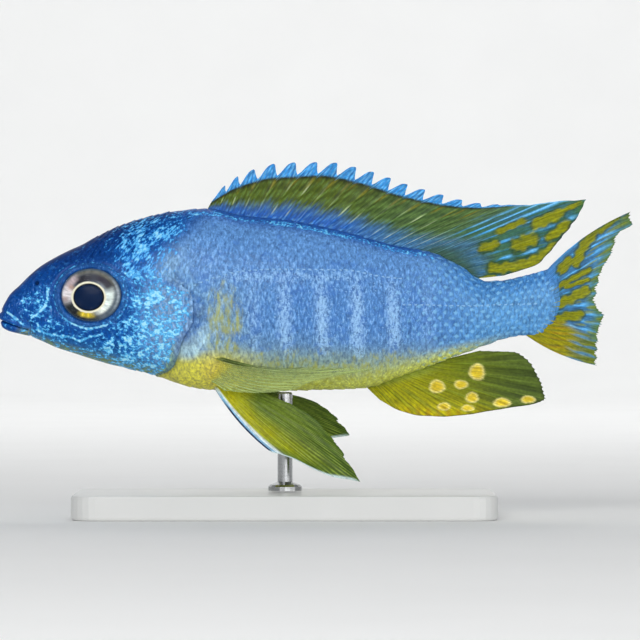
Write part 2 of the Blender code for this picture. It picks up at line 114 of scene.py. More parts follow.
# Stand rod
# A 3 mm rod with a turned collar, of stainless steel, screwed up through the board. It
# ends just under the belly.
TURNING_MARK = 0.12  # height of a tool mark

# Stainless steel, turned and polished: fine rings round the rod catch the light
finish = {"Metallic": 1.0, "Roughness": 0.24}
steel, tree, shader, place_mm = new_material("turned stainless steel", finish)
inputs = {0: place_mm, 1: (0.05, 0.05, 1 / TURNING_MARK)}
rings = add_node(tree, "VectorMath", inputs, operation="MULTIPLY")[0]
marks = add_node(tree, "TexNoise", {"Vector": rings, "Scale": 1, "Detail": 3})["Fac"]
inputs = {0: marks, 6: linear("#a9abad"), 7: linear("#c9cacb")}
tint = add_node(tree, "Mix", inputs, data_type="RGBA")[2]
bump = add_node(tree, "Bump", {"Height": marks, "Strength": 0.12, "Distance": 0.05 * MM})[0]
set_inputs(shader, {"Base Color": tint, "Normal": bump})
dress(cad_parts["stand_rod"].data, steel)


# Skin
# The body is one cast resin shell from the lips to the root of the tail. Its face has
# lips, nostrils, canal pores, orbit rims and the free edge of each gill cover, and it is
# airbrushed in the fish's colours under a thin varnish.
TOTAL_LENGTH = 126.6
# s, back, belly and half width of the body
BODY = np.array(
    [
        (0.9, 42.7, 38.2, 2.3), (2.0, 44.5, 37.5, 3.0), (4.0, 46.4, 36.8, 3.5),
        (6.0, 48.4, 36.2, 4.1), (8.2, 50.2, 35.3, 4.8), (11.6, 52.2, 33.8, 5.7),
        (15.0, 53.9, 32.7, 6.5), (18.4, 55.6, 31.6, 7.2), (24.0, 58.3, 30.0, 8.0),
        (30.0, 60.2, 28.6, 8.6), (36.0, 61.4, 26.5, 8.9), (42.0, 61.7, 25.4, 9.0),
        (48.0, 60.4, 25.2, 8.9), (58.4, 59.3, 25.3, 8.5), (68.0, 57.3, 25.5, 7.8),
        (74.4, 55.6, 26.0, 7.0), (78.8, 54.4, 27.6, 6.4), (86.4, 52.9, 30.4, 5.2),
        (91.8, 50.4, 32.4, 4.4), (97.4, 47.2, 34.4, 3.4), (100.5, 47.4, 35.5, 2.9),
        (104.0, 48.1, 36.2, 2.4), (108.0, 49.2, 36.1, 1.8), (113.0, 50.9, 35.7, 1.3),
    ]
)
SNOUT_TIP_Z = 39.9
SNOUT_END = 0.9
LEAST_DEPTH = 0.01  # of the body, where the snout's tip has none
WIDEST_LEVEL = 0.53  # share of its height at which the body is widest
# Powers of the cross section: 2 is an ellipse, and more is squarer
BACK_ROUNDNESS = 2.0
BELLY_ROUNDNESS = 2.3
CHIN_ROUNDNESS = 3.2
CHIN_END = 20.0
# z and s of the free edge of the gill cover, and of the root of the tail fin
GILL_EDGE = np.array(
    [
        (22.0, 28.5), (26.5, 29.6), (28.2, 31.8), (29.9, 34.6), (32.2, 35.8), (35.2, 36.7),
        (37.6, 38.0), (40.2, 38.9), (43.4, 38.8), (45.1, 38.0), (46.2, 36.6), (47.3, 34.8),
        (48.4, 33.8), (52.0, 33.2), (66.0, 32.6),
    ]
)
GILL_LINE = 38.9  # the ring that is bent to the gill cover's edge
FLAP_LAP = 0.4  # how far the skin reaches forward under that edge
TAIL_ROOT = np.array([(34.0, 107.3), (36.1, 108.2), (43.2, 110.8), (49.9, 109.9), (53.0, 108.6)])
TAIL_LINE = 110.8  # the ring that is bent to the tail's root
SKIN_OVER_TAIL = 1.2
TAIL_THINNING = 0.7  # how much of its width the skin loses there
BENDING_STEPS = 5
SKIN_SIDES = 210  # points round each ring
QUARTER = 180  # fine steps in a quarter of a cross section
# Stretches of the skin, from and to s, each with its number of rings
SKIN_RINGS = (
    (0.03, 0.9, 12), (0.9, 8, 64), (8, 27, 116), (27, 36, 50),
    (36, 40.5, 46), (40.5, 47, 30), (47, 112, 120),
)
UNWRAP = 130.0  # length of fish on the unwrap's sheet
# Places (s, z) and lines on the head
MOUTH_TIP_Z = 39.5
MOUTH_CORNER = (5.6, 37.4)
MOUTH_LEAN = 0.93  # cosine of the slope of its line
EYE_CENTRE = (18.5, 6.2, 44.3)
ORBIT = (6.2, 5.4)  # half its length and height
NOSTRIL = (7.6, 46.8)
GILL_CREASE = ((27.6, 47), (28.4, 42), (27.6, 37), (25, 34), (20, 33))
LOWER_GILL_CREASE = ((28.2, 36.4), (33, 34.6), (36.2, 34.4))
JAW_END = ((5.9, 39.2), (6.5, 37.6), (6.2, 36.3))
FIN_BASE = (42.6, 30.4)
GILL_HINGE = (36.4, 30.6)
CANAL_PORES = (
    (8.8, 37.4), (11.2, 36.6), (13.8, 36.0), (16.4, 35.6), (20.6, 37.6), (23.2, 39.4), (26.6, 38.0),
    (26.2, 35.6), (24.6, 33.6), (21.6, 32.9), (27.0, 41.0), (9.8, 40.0), (5.2, 43.6), (11.4, 50.2),
)


def smooth(places, values, at):
    """Values at places on the smooth curve through the given ones, with no overshoot."""
    places, values, at = (np.asarray(numbers, float) for numbers in (places, values, at))
    steps = np.diff(places)
    slopes = np.diff(values) / steps
    before, after = slopes[:-1], slopes[1:]
    heavy, light = 2 * steps[1:] + steps[:-1], steps[1:] + 2 * steps[:-1]
    turning = before * after <= 0
    before, after = np.where(turning, 1, before), np.where(turning, 1, after)
    inner = np.where(turning, 0, (heavy + light) / (heavy / before + light / after))
    tangents = np.concatenate([slopes[:1], inner, slopes[-1:]])
    i = np.clip(np.searchsorted(places, at) - 1, 0, len(steps) - 1)
    t = (at - places[i]) / steps[i]
    rise_to = values[i] + (values[i + 1] - values[i]) * t * t * (3 - 2 * t)
    return rise_to + steps[i] * t * (1 - t) * (tangents[i] * (1 - t) - tangents[i + 1] * t)


def rise(x, low, high):
    """Zero up to low, one from high on, and smooth between."""
    share = np.clip((x - low) / (high - low), 0, 1)
    return share * share * (3 - 2 * share)


def fall(x, low, high):
    """One up to low, zero from high on, and smooth between."""
    return 1 - rise(x, low, high)


def hump(x, middle, reach):
    """One at the middle, falling smoothly to zero at reach on either side."""
    return np.clip(1 - ((x - middle) / reach) ** 2, 0, None) ** 2


def oval(x, y, at_x, at_y, reach_x, reach_y):
    """One in the middle of an oval, falling smoothly to zero at its rim."""
    return hump(np.hypot((x - at_x) / reach_x, (y - at_y) / reach_y), 0, 1)


def body_at(s):
    """Back, belly, half width and widest height of the body at s."""
    at = np.maximum(s, SNOUT_END)
    back, belly, half_width = (smooth(BODY[:, 0], BODY[:, i], at) for i in (1, 2, 3))
    snout = np.clip(np.asarray(s) / SNOUT_END, 0, 1) ** 0.6
    back = SNOUT_TIP_Z + (back - SNOUT_TIP_Z) * snout
    belly = SNOUT_TIP_Z + (belly - SNOUT_TIP_Z) * snout
    return back, belly, half_width * snout, belly + WIDEST_LEVEL * (back - belly)


def level_at(s, z):
    """Height on the body as a share, zero at the belly and one at the back."""
    back, belly, _, _ = body_at(s)
    return np.clip((z - belly) / np.maximum(back - belly, LEAST_DEPTH), 0, 1)


def gill_edge(z):
    """The s of the gill cover's free edge at z."""
    return smooth(GILL_EDGE[:, 0], GILL_EDGE[:, 1], np.clip(z, 22, 66))


def tail_root(z):
    """The s of the tail fin's root at z."""
    return smooth(TAIL_ROOT[:, 0], TAIL_ROOT[:, 1], np.clip(z, 34, 53))


def body_rings(at):
    """Tables of y and z round the body at each s of at, its girth, and where its middle lies.

    The points start at the belly, go up the left side and are evenly spaced.
    """
    angles = np.linspace(-math.pi / 2, 1.5 * math.pi, 4 * QUARTER + 1)
    across, up = -np.cos(angles), np.sin(angles)
    back, belly, half_width, widest = body_at(at)
    chin = CHIN_ROUNDNESS + (BELLY_ROUNDNESS - CHIN_ROUNDNESS) * rise(at, 0, CHIN_END)
    ys, zs, girths, middles = [], [], [], []
    for i in range(len(at)):
        roundness = np.where(up > 0, BACK_ROUNDNESS, chin[i])
        reach = np.where(up > 0, back[i] - widest[i], widest[i] - belly[i])
        y = half_width[i] * np.sign(across) * np.abs(across) ** (2 / roundness)
        z = widest[i] + reach * np.sign(up) * np.abs(up) ** (2 / roundness)
        along = np.concatenate([[0], np.cumsum(np.hypot(np.diff(y), np.diff(z)))])
        even = np.linspace(0, along[-1], SKIN_SIDES + 1)[:-1]
        ys.append(np.interp(even, along, y))
        zs.append(np.interp(even, along, z))
        girths.append(along[-1])
        middles.append(along[QUARTER] / along[-1])
    return np.array(ys), np.array(zs), np.array(girths), np.array(middles)


def orbit_share(s, z):
    """Distance from the middle of the eye, as a share of the orbit's radius."""
    return np.hypot((s - EYE_CENTRE[0]) / ORBIT[0], (z - EYE_CENTRE[2]) / ORBIT[1])


def mouth_height(s, z):
    """Height above the line between the lips."""
    along = (np.clip(s, 0, 9) / MOUTH_CORNER[0]) ** 0.8
    level = MOUTH_TIP_Z + (MOUTH_CORNER[1] - MOUTH_TIP_Z) * along
    return (z - level) * MOUTH_LEAN


def line_mask(s, z, points, reach):
    """One on a line through points of (s, z), falling to zero at reach from it."""
    nearest = np.full(np.shape(s), 1e9)
    for (s0, z0), (s1, z1) in zip(points, points[1:]):
        long, high = s1 - s0, z1 - z0
        t = np.clip(((s - s0) * long + (z - z0) * high) / (long**2 + high**2), 0, 1)
        nearest = np.minimum(nearest, np.hypot(s - s0 - t * long, z - z0 - t * high))
    return hump(nearest, 0, reach)


def scaled_skin(s, z):
    """One where the body is scaled, zero on the bare snout, forehead, lips and orbit."""
    rim = rise(orbit_share(s, z), 1.2, 1.5)
    snout = rise(s + 0.35 * (z - 44), 17, 20)
    return rim * snout


def relief(s, z):
    """Height of the forms over the plain body, in mm, and the painted shade of its creases."""
    lips = fall(s, 4.8, 6.6)
    off_mouth = mouth_height(s, z)
    slim = 1 - 0.4 * rise(s, 1, 6)
    upper_lip = 0.5 * hump(off_mouth, 0.72 * slim, 0.72)
    height = lips * slim * (upper_lip + 0.45 * hump(off_mouth, -0.78 * slim, 0.8))
    slit = hump(off_mouth, 0, 0.24) * fall(s, 5.4, 6.2)
    height -= 0.85 * slit
    fold = hump(off_mouth, 1.75, 0.4) * fall(s, 5, 7) + hump(off_mouth, -1.9, 0.4) * fall(s, 4, 6.5)
    height -= 0.16 * fold
    jaw_end = line_mask(s, z, JAW_END, 0.45)
    height -= 0.22 * jaw_end
    # Painted shade: the mouth's slit, the lip folds and the jaw's end are darkened as shaded creases
    crease_shade = slit + 0.3 * fold + 0.4 * jaw_end

    eye = orbit_share(s, z)
    height += 0.28 * hump(eye, 1.08, 0.1) - 0.1 * hump(eye, 1.24, 0.06) + 0.08 * hump(eye, 1.31, 0.06)
    height -= 3.0 * fall(eye, 0.86, 1.005)
    # Painted shade round the orbit's rim, where the skin meets the eye
    crease_shade += 0.9 * fall(eye, 0.97, 1.03) + 0.25 * hump(eye, 1.24, 0.06)

    nostril = np.hypot(s - NOSTRIL[0], z - NOSTRIL[1])
    height += 0.12 * hump(nostril, 0.62, 0.3) - 0.7 * fall(nostril, 0.25, 0.52)
    crease_shade += fall(nostril, 0.3, 0.55)
    for pore_s, pore_z in CANAL_PORES:
        pore = np.hypot(s - pore_s, z - pore_z)
        height -= 0.22 * fall(pore, 0.1, 0.6)
        crease_shade += 0.25 * fall(pore, 0.1, 0.45)

    behind = s - gill_edge(z)
    opening = fall(z, 47, 49.5) * rise(z - body_at(s)[1], 0.1, 2.6)
    swell = 0.5 * rise(s, 24, 36) * opening
    height += swell * fall(behind, -0.05, 0.25) + 0.14 * hump(behind, -0.55, 0.6) * opening
    height -= 0.4 * opening * rise(behind, 0, 0.25) * fall(behind, 0.7, 4)
    crease_shade += 0.35 * opening * hump(behind, 0.35, 0.35)
    cheek_edge = line_mask(s, z, GILL_CREASE, 0.5)
    lower_edge = line_mask(s, z, LOWER_GILL_CREASE, 0.4)
    height -= 0.22 * cheek_edge + 0.16 * lower_edge
    crease_shade += 0.3 * cheek_edge + 0.2 * lower_edge
    height += 0.55 * oval(s, z, FIN_BASE[0], FIN_BASE[1], 2.4, 4.2)
    return height - 0.12 * scaled_skin(s, z), np.clip(crease_shade, 0, 1)


def layered(ground, *layers):
    """Paints each (colour, mask) over the ground in turn."""
    ground = np.broadcast_to(linear(ground)[:3], (*np.shape(layers[0][1]), 3))
    for colour, mask in layers:
        mask = np.clip(mask, 0, 1)[..., None]
        ground = ground * (1 - mask) + np.array(linear(colour)[:3]) * mask
    return ground


def behind_gill(s, z, level):
    """Distance behind the head, whose rear edge runs up from the gill opening to the nape."""
    return s - gill_edge(np.clip(z, 24, 58)) - 4 * rise(level, 0.8, 1.0) + 2.5 * hump(level, 0.68, 0.2)


def flesh_colours(s, z):
    """The broad colours of head and body at each place, from snout to tail."""
    level = level_at(s, z)
    behind = behind_gill(s, z, level)
    head = fall(behind, -3.5, 2.5 + 5 * rise(level, 0.6, 0.9))
    bars = light_bars(s, z)
    low = fall(level, 0.12, 0.42)
    shoulder = oval(s, z, 45, 38, 7, 12)
    crown = rise(level, 0.66, 0.92)
    from_hinge = np.hypot(s - GILL_HINGE[0], z - GILL_HINGE[1])
    fan = 0.65 + 0.35 * np.sin(26 * np.arctan2(z - GILL_HINGE[1], s - GILL_HINGE[0]))
    flap = hump(np.hypot((s - 39.2 - 0.6 * (z - 34.4)) / 3.2, (z - 34.8) / 4.0), 0, 1) ** 0.5
    flap = flap * (fan + (1 - fan) * rise(from_hinge, 5.5, 3.0))
    return layered(
        "#5f98d6",
        ("#6fa5de", rise(level, 0.5, 0.85)),
        ("#72a8de", 0.5 * fall(level, 0.6, 0.8) * fall(s, 50, 62)),
        ("#66a9de", rise(s, 84, 100)),
        ("#4288cc", 0.7 * rise(s, 84, 96) * rise(level, 0.6, 0.95)),
        ("#8ab6e4", 0.85 * bars),
        ("#8cb0b4", 0.8 * low * rise(s, 38, 44) * fall(s, 70, 88)),
        ("#98ccee", 0.9 * oval(behind, z, 2.5, 49, 7, 9)),
        ("#95b6b0", 0.75 * shoulder),
        ("#b4c88c", 0.75 * fall(level, 0.1, 0.3) * rise(s, 34, 40) * fall(s, 72, 94)),
        ("#f4fa38", 0.95 * fall(level, 0.02, 0.17) * rise(s, 34, 40) * fall(s, 88, 104)),
        ("#1d5ab4", 0.85 * rise(level, 0.91, 0.99) * (1 - head) * fall(s, 82, 94)),
        ("#044c9a", head),
        ("#1f63b0", head * rise(s, 23, 30) * fall(level, 0.55, 0.8)),
        ("#84a6c8", 0.85 * head * rise(s, 26, 33) * fall(level, 0.5, 0.7)),
        ("#0c5eb2", head * rise(s, 17, 28) * rise(level, 0.6, 0.75)),
        ("#02377c", head * crown * (1 - 0.6 * rise(s, 25, 37))),
        ("#024b9c", 0.85 * head * fall(s, 8, 15)),
        ("#032858", 0.9 * head * rise(level, 0.9, 1) * fall(s, 28, 40)),
        ("#2f6ea0", 0.7 * head * fall(level, 0.04, 0.2) * rise(s, 3, 8)),
        ("#7f9a52", 0.9 * head * fall(level, 0.0, 0.1) * rise(s, 5, 10)),
        ("#8a9a3c", 0.8 * fall(level, 0.0, 0.2) * hump(s, 5.2, 2.4)),
        ("#2c64a0", 0.7 * hump(orbit_share(s, z), 1.12, 0.16)),
        ("#fcf400", fall(level, 0.12, 0.27) * rise(behind, -0.2, 0.8) * fall(s, 45, 56)),
        ("#eedc08", 0.9 * oval(s, z, 43.0, 29.4, 4.4, 4.6)),
        ("#8fae5c", 0.7 * hump(behind, -0.8, 2.4) * fall(level, 0.12, 0.3)),
        ("#d2faff", 1.5 * flap),
        ("#8db2d4", 0.7 * hump(s - gill_edge(z), -0.4, 1.0) * fall(z, 46, 49) * rise(z, 31, 34)),
    )


def light_bars(s, z):
    """One in the middle of each of the pale upright bars of the flank."""
    leaning = s + 0.04 * (z - 40)
    bars = sum(weight * hump(leaning, at, 2.0) for at, weight in LIGHT_BARS)
    return bars * rise(z, 28, 33) * fall(z, 42, 50)


# s and strength of the pale bars, and strength and (s, z) points of the face's cyan lines
LIGHT_BARS = ((44.0, 0.35), (50.8, 0.45), (57, 1), (64.4, 1), (71.4, 1), (78.6, 0.9), (85.4, 0.35))
HEAD_LINES = (
    (1.0, (9.8, 45.8), (9.7, 43.6), (9.3, 42.2), (8.2, 41.0), (6.6, 39.8)),
    (0.5, (9.4, 42.2), (10.6, 41.8)),
    (
        0.9,
        (7.8, 38.8), (8.0, 37.2), (10.2, 36.6), (12.4, 36.2),
        (14.6, 36.0), (16.2, 35.2), (18.2, 36.0), (20.8, 36.6),
    ),
    (0.6, (12.8, 39.6), (14.6, 38.8), (16.4, 38.0)),
    (0.85, (16.4, 38.0), (18.2, 37.5), (21.6, 38.4)),
    (0.8, (25.4, 48.8), (27.6, 48.0), (30.3, 46.8)),
    (1.0, (1.7, 40.9), (3.2, 39.8), (4.8, 38.6)),
)


def flesh_marks(s, z):
    """How strongly each kind of mark lies at each place, by the name of its attribute."""
    level = level_at(s, z)
    behind = behind_gill(s, z, level)
    head = fall(behind, -1.5, 0.5 + 4.5 * rise(level, 0.3, 0.55))
    rear_cheek = rise(s, 18, 27) * fall(level, 0.6, 0.8)
    nape = rise(level, 0.5, 0.66) * rise(s + 8 * level, 20, 33)
    eye = orbit_share(s, z)
    lines = sum(strength * line_mask(s, z, points, 0.5) for strength, *points in HEAD_LINES)
    lines = lines + 0.55 * hump(eye, 1.2, 0.06) + 0.4 * hump(eye, 1.36, 0.05)
    flecks = head * (0.08 + 0.24 * rear_cheek + 0.06 * fall(level, 0.3, 0.5)) - 1.2 * (1 - head)
    flecks = flecks - 0.35 * rise(level, 0.6, 0.8) - 0.3 * fall(eye, 1.3, 1.6)
    flecks = flecks - 0.3 * fall(s, 3, 5) - 2 * (1 - head) * fall(level, 0.15, 0.4)
    flecks = flecks + 0.17 * oval(s, z, 7.2, 43.4, 4.6, 4.2)
    dashes = nape * (0.48 - 0.24 * rise(level, 0.88, 1)) * (1 - 0.3 * rise(s, 26, 36))
    dashes = dashes - 1.6 * (1 - nape * fall(behind, 0, 12))
    under_back = body_at(s)[0] - z
    fin_line = rise(hump(under_back, 1.0, 0.75), 0, 0.4) * rise(s, 36, 40) * fall(s, 84, 96)
    dashes = dashes + (0.42 - dashes) * fin_line
    straw = 0.9 * oval(s, z, 44.8, 39, 6, 12)
    straw = straw + 0.6 * fall(level, 0.08, 0.36) * rise(s, 44, 52) * fall(s, 74, 92)
    straw = straw * (1 - head) - 2 * fall(straw * (1 - head), 0, 0.3)
    bars = light_bars(s, z) + 0.35 * (1 - head) - 0.5 * rise(level, 0.7, 0.9) - 0.7 * rise(s, 80, 96)
    bars = bars - 1.6 * fall(level, 0.1, 0.3)
    bars = bars + 0.6 * hump(z, 48.0, 1.5) * rise(s, 43, 47) * fall(s, 68, 76)
    spotted = 0.5 * rise(s, 56, 70) * hump(level, 0.5, 0.45) * fall(s, 78, 90) + rise(s, 74, 90)
    return {
        "lines": np.clip(lines, 0, 1) - 0.4 * fall(lines, 0, 0.2),
        "flecks": flecks,
        "dashes": dashes,
        "straw": straw,
        "bars": bars,
        "spotted": spotted,
    }


def put_attribute(mesh, name, values, kind="FLOAT"):
    """Stores one value for each vertex under a name."""
    field = {"FLOAT": "value", "FLOAT_VECTOR": "vector", "FLOAT_COLOR": "color"}[kind]
    values = np.asarray(values, np.float32)
    if kind == "FLOAT_COLOR":
        values = np.concatenate([values, np.ones((len(values), 1), np.float32)], axis=1)
    mesh.attributes.new(name, kind, "POINT").data.foreach_set(field, values.ravel())


def new_mesh(points, faces):
    """A smooth-shaded mesh of points (s, y, z) in mm."""
    mesh = bpy.data.meshes.new("cast")
    metres = (np.asarray(points) - (TOTAL_LENGTH / 2, 0, 0)) * MM
    mesh.from_pydata(metres.tolist(), [], faces)
    mesh.shade_smooth()
    return mesh


def shell_faces(rings, sides):
    """Faces of a closed shell: rings of points, then one point at its front and one behind it."""
    pairs = [(j, (j + 1) % sides) for j in range(sides)]
    starts = range(0, (rings - 1) * sides, sides)
    faces = [(i + j, i + sides + j, i + sides + k, i + k) for i in starts for j, k in pairs]
    last, front, rear = (rings - 1) * sides, rings * sides, rings * sides + 1
    faces += [(front, j, k) for j, k in pairs]
    return faces + [(rear, last + k, last + j) for j, k in pairs]


def new_object(name, data):
    """Puts a mesh, a lamp or a camera into the scene."""
    made = bpy.data.objects.new(name, data)
    bpy.context.scene.collection.objects.link(made)
    return made


def new_piece(name, mesh, finish):
    """Puts a mesh on show under a name, in one finish."""
    mesh.name = name
    dress(mesh, finish)
    return new_object(name, mesh)


def paint_over(tree, colour, paint, amount, low, high, strength):
    """Covers a colour with a paint, up to a strength, as the amount goes from low to high."""
    inputs = {0: amount, 1: low, 2: high, 3: 0.0, 4: strength}
    mask = add_node(tree, "MapRange", inputs, interpolation_type="SMOOTHSTEP")[0]
    return add_node(tree, "Mix", {0: mask, 6: colour, 7: linear(paint)}, data_type="RGBA")[2]


def resin_paint(name, scaled):
    """Airbrushed and varnished resin, in the colours that the mesh carries.

    Each noise has its size in mm, and leans back by an angle. Each row of paints is a
    colour, the noise that breaks it up, the attribute that says where it lies and how
    strongly, and the span over which it comes in.
    """
    finish = {"Coat Weight": 0.1, "Coat Roughness": 0.12, "Specular IOR Level": 0.08}
    made, tree, shader, place_mm = new_material(name, finish)
    words = ("ground", "lines", "flecks", "dashes", "straw", "bars", "crease_shade", "spotted", "tip", "spot")
    read = {word: add_node(tree, "Attribute", {}, attribute_name=word) for word in words}
    noises = {}
    for word, size, lean, detail, roughness in (
        ("streak", (0.46, 0.46, 1.1), 0, 4, 0.65),
        ("grain", (0.34, 0.34, 0.34), 0, 2, 0.5),
        ("mottle", (2.4, 2.4, 1.9), 0, 5, 0.6),
        ("fleck", (0.8, 0.8, 0.6), 0.2, 3, 0.6),
        ("dash", (0.46, 0.46, 1.3), 0.62, 3, 0.6),
        ("break", (0.8, 0.8, 0.8), 0, 3, 0.6),
        ("straw", (1.0, 1.0, 3.2), 0, 4, 0.7),
    ):
        inputs = {"Vector": place_mm, "Rotation": (0, lean, 0), "Scale": size}
        sized = add_node(tree, "Mapping", inputs, vector_type="TEXTURE")[0]
        inputs = {"Vector": sized, "Scale": 1.0, "Detail": detail}
        inputs |= {"Roughness": roughness, "Distortion": 0.25}
        noises[word] = add_node(tree, "TexNoise", inputs)["Fac"]
    # Upright streaks of the flank, about half a millimetre across, and a finer grain
    streaks = add_node(tree, "MapRange", {0: noises["streak"], 1: 0.3, 2: 0.7, 3: 0.36, 4: 1.42})[0]
    inputs = {0: noises["grain"], 1: 0.2, 2: streaks}
    value = add_node(tree, "Math", inputs, operation="MULTIPLY_ADD")[0]
    inputs = {0: read["ground"]["Color"], "Scale": value}
    colour = add_node(tree, "VectorMath", inputs, operation="SCALE")[0]
    # Flecks and dashes gather in clumps
    for word in ("flecks", "dashes"):
        inputs = {0: noises["mottle"], 1: 1.8, 2: read[word]["Fac"]}
        clumped = add_node(tree, "Math", inputs, operation="MULTIPLY_ADD")[0]
        inputs = {0: clumped, 1: 0.9}
        read[word] = {"Fac": add_node(tree, "Math", inputs, operation="SUBTRACT")[0]}
    paints = [
        # Dark blue mottle between the flecks of the head
        ("#0a3a86", "break", "flecks", -0.25, 0.46, 0.6, 0.4),
        ("#3a86d0", "break", "flecks", 0.1, 0.5, 0.7, 0.45),
        # Deeper blue patches of the flank, and pale dashes in its bars and under the lateral line
        ("#4277c6", "mottle", "bars", 0.12, 0.54, 0.7, 0.5),
        ("#a8d4fa", "streak", "bars", 0.16, 0.56, 0.84, 0.7),
        ("#a4d2fa", "grain", "bars", 0.14, 0.66, 0.78, 0.6),
        # Straw streaks behind the gill and along the belly
        ("#b2b43a", "straw", "straw", 0.22, 0.5, 0.86, 0.8),
        ("#b8923a", "straw", "straw", 0.22, 0.8, 0.92, 0.4),
        # Cyan flecks of cheek and gill cover, about half a millimetre across
        ("#3a94dc", "fleck", "flecks", 0.4, 0.58, 0.63, 0.8),
        ("#66c8fa", "fleck", "flecks", 0.4, 0.64, 0.69, 1.0),
        ("#b0ecff", "fleck", "flecks", 0.4, 0.72, 0.79, 0.9),
        # Leaning dashes of the nape
        ("#2f8ce0", "dash", "dashes", 0.34, 0.6, 0.65, 0.8),
        ("#62c2fa", "dash", "dashes", 0.34, 0.66, 0.72, 1.0),
        ("#a8e6ff", "dash", "dashes", 0.34, 0.76, 0.82, 0.8),
        # The broken cyan lines of the face
        ("#4fb4f0", "fleck", "lines", 0.42, 0.66, 0.8, 0.9),
        ("#a9e6ff", "fleck", "lines", 0.42, 0.82, 0.94, 0.9),
    ]
    if scaled:
        # Each scale is darker at its root, a painted shade under the scale before it, and lighter
        # towards its free edge, a painted highlight; those of rear flank and tail have a pale spot
        inputs = {0: read["tip"]["Fac"], 1: 0.45, 2: 0.95, 3: 0.93, 4: 1.26}
        lit = add_node(tree, "MapRange", inputs, interpolation_type="SMOOTHSTEP")[0]
        colour = add_node(tree, "VectorMath", {0: colour, "Scale": lit}, operation="SCALE")[0]
        inputs = {0: read["spot"]["Fac"], 1: read["spotted"]["Fac"]}
        read["marked"] = {"Fac": add_node(tree, "Math", inputs, operation="MULTIPLY")[0]}
        paints.append(("#8fd0fa", "break", "marked", 0.7, 0.75, 1.2, 0.62))
    # Painted shade in the creases, grooves, pores and nostrils of the face and round the eye
    paints.append(("#0b2347", "grain", "crease_shade", 1.0, 0.6, 1.5, 0.75))
    for paint, noise, where, push, low, high, strength in paints:
        inputs = {0: read[where]["Fac"], 1: push, 2: noises[noise]}
        amount = add_node(tree, "Math", inputs, operation="MULTIPLY_ADD")[0]
        colour = paint_over(tree, colour, paint, amount, low, high, strength)
    rough = add_node(tree, "MapRange", {0: noises["streak"], 1: 0.2, 2: 0.8, 3: 0.34, 4: 0.5})[0]
    inputs = {"Height": noises["grain"], "Strength": 0.25, "Distance": 0.08 * MM}
    bump = add_node(tree, "Bump", inputs)[0]
    set_inputs(shader, {"Base Color": colour, "Roughness": rough, "Normal": bump})
    return made


# The rings, closer together at the tip of the snout, and tables of the plain body
spans = [np.linspace(low, high, count, endpoint=False) for low, high, count in SKIN_RINGS]
spans[0] = SNOUT_END * (spans[0] / SNOUT_END) ** 1.4
ring_at = np.concatenate([*spans, [TAIL_LINE + SKIN_OVER_TAIL]])
table_s = np.concatenate([np.linspace(0.02, 2, 60, endpoint=False), np.linspace(2, 114, 560)])
table_y, table_z, girth, middle = body_rings(table_s)


def on_rings(table, s):
    """Values of a table at the s of each place of the skin's grid."""
    return np.stack([np.interp(s[:, j], table_s, table[:, j]) for j in range(SKIN_SIDES)], axis=1)


# Some rings bend to the edge of the gill cover and to the tail's root, in a few steps
ring = np.repeat(ring_at[:, None], SKIN_SIDES, axis=1)
s = ring.copy()
for _ in range(BENDING_STEPS):
    z = on_rings(table_z, s)
    to_gill = (gill_edge(z) - GILL_LINE) * rise(ring, 25, GILL_LINE) * fall(ring, 41, 62)
    to_tail = (tail_root(z) - TAIL_LINE) * rise(ring, 92, TAIL_LINE)
    s = ring + to_gill + to_tail
y, z = on_rings(table_y, s), on_rings(table_z, s)
y = y * (1 - TAIL_THINNING * rise(ring, 104, TAIL_LINE + SKIN_OVER_TAIL))

# The forms of the face stand out from the plain body
plain = np.stack([s, y, z], axis=-1)
along = np.gradient(plain, axis=0)
around = np.roll(plain, -1, axis=1) - np.roll(plain, 1, axis=1)
out = np.cross(along, around)
out /= np.linalg.norm(out, axis=-1, keepdims=True) + 1e-12
height, crease_shade = relief(s, z)
formed = plain + out * height[..., None]
behind = s - gill_edge(z)
under_flap = rise(behind, 0, 0.25) * fall(behind, 0.5, 1.6) * fall(z, 46, 48.5)
formed[..., 0] -= FLAP_LAP * under_flap
rings, sides = s.shape
nose = (0.0, 0.0, formed[0, :, 2].mean())
ends = np.array([nose, (s[-1].max() + 0.1, 0.0, formed[-1, :, 2].mean())])
skin_mesh = new_mesh(np.concatenate([formed.reshape(-1, 3), ends]), shell_faces(rings, sides))
all_s = np.concatenate([s.ravel(), ends[:, 0]])
all_z = np.concatenate([z.ravel(), ends[:, 2]])
put_attribute(skin_mesh, "ground", flesh_colours(all_s, all_z), "FLOAT_COLOR")
for mark, strength in flesh_marks(all_s, all_z).items():
    put_attribute(skin_mesh, mark, strength)
# How much painted shade each place gets for lying in a crease
put_attribute(skin_mesh, "crease_shade", np.concatenate([crease_shade.ravel(), [0, 0]]))


def on_sheet(i, j):
    """Where point j of ring i lies on the skin's unwrap: s along it, and round the body."""
    return s[i, j % sides] / UNWRAP, j / sides


flat = []
for i in range(rings - 1):
    for j in range(sides):
        for corner in ((i, j), (i + 1, j), (i + 1, j + 1), (i, j + 1)):
            flat += on_sheet(*corner)
for j in range(sides):
    flat += [0, (j + 0.5) / sides, *on_sheet(0, j), *on_sheet(0, j + 1)]
for j in range(sides):
    flat += [ends[1, 0] / UNWRAP, (j + 0.5) / sides, *on_sheet(-1, j + 1), *on_sheet(-1, j)]
skin_mesh.uv_layers.new(name="OFBake").data.foreach_set("uv", flat)
skin = new_piece("skin", skin_mesh, resin_paint("varnished resin skin", False))
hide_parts("head", "gill_cover_left", "gill_cover_right", "torso", "tail_stalk")
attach(skin, "root")


# Scales
# Thin overlapping plates of the same resin, in rows along the body, each with its root in
# the skin and its free edge towards the tail. They are larger on the flanks than on cheek,
# gill cover and nape, and they carry the skin's own colours.
SCALE_LENGTH = 1.62  # of the spacing in its row
SCALE_WIDTH = 1.12  # of the spacing of the rows
WIDEST_AT = 0.4  # of its length
SPOT_AT = 0.66
SPOT_REACH = 0.34
PATCH = 0.003  # side of a scale's square on the unwrap
FACE_STEP = 0.68
FACE_GAP = 1.95
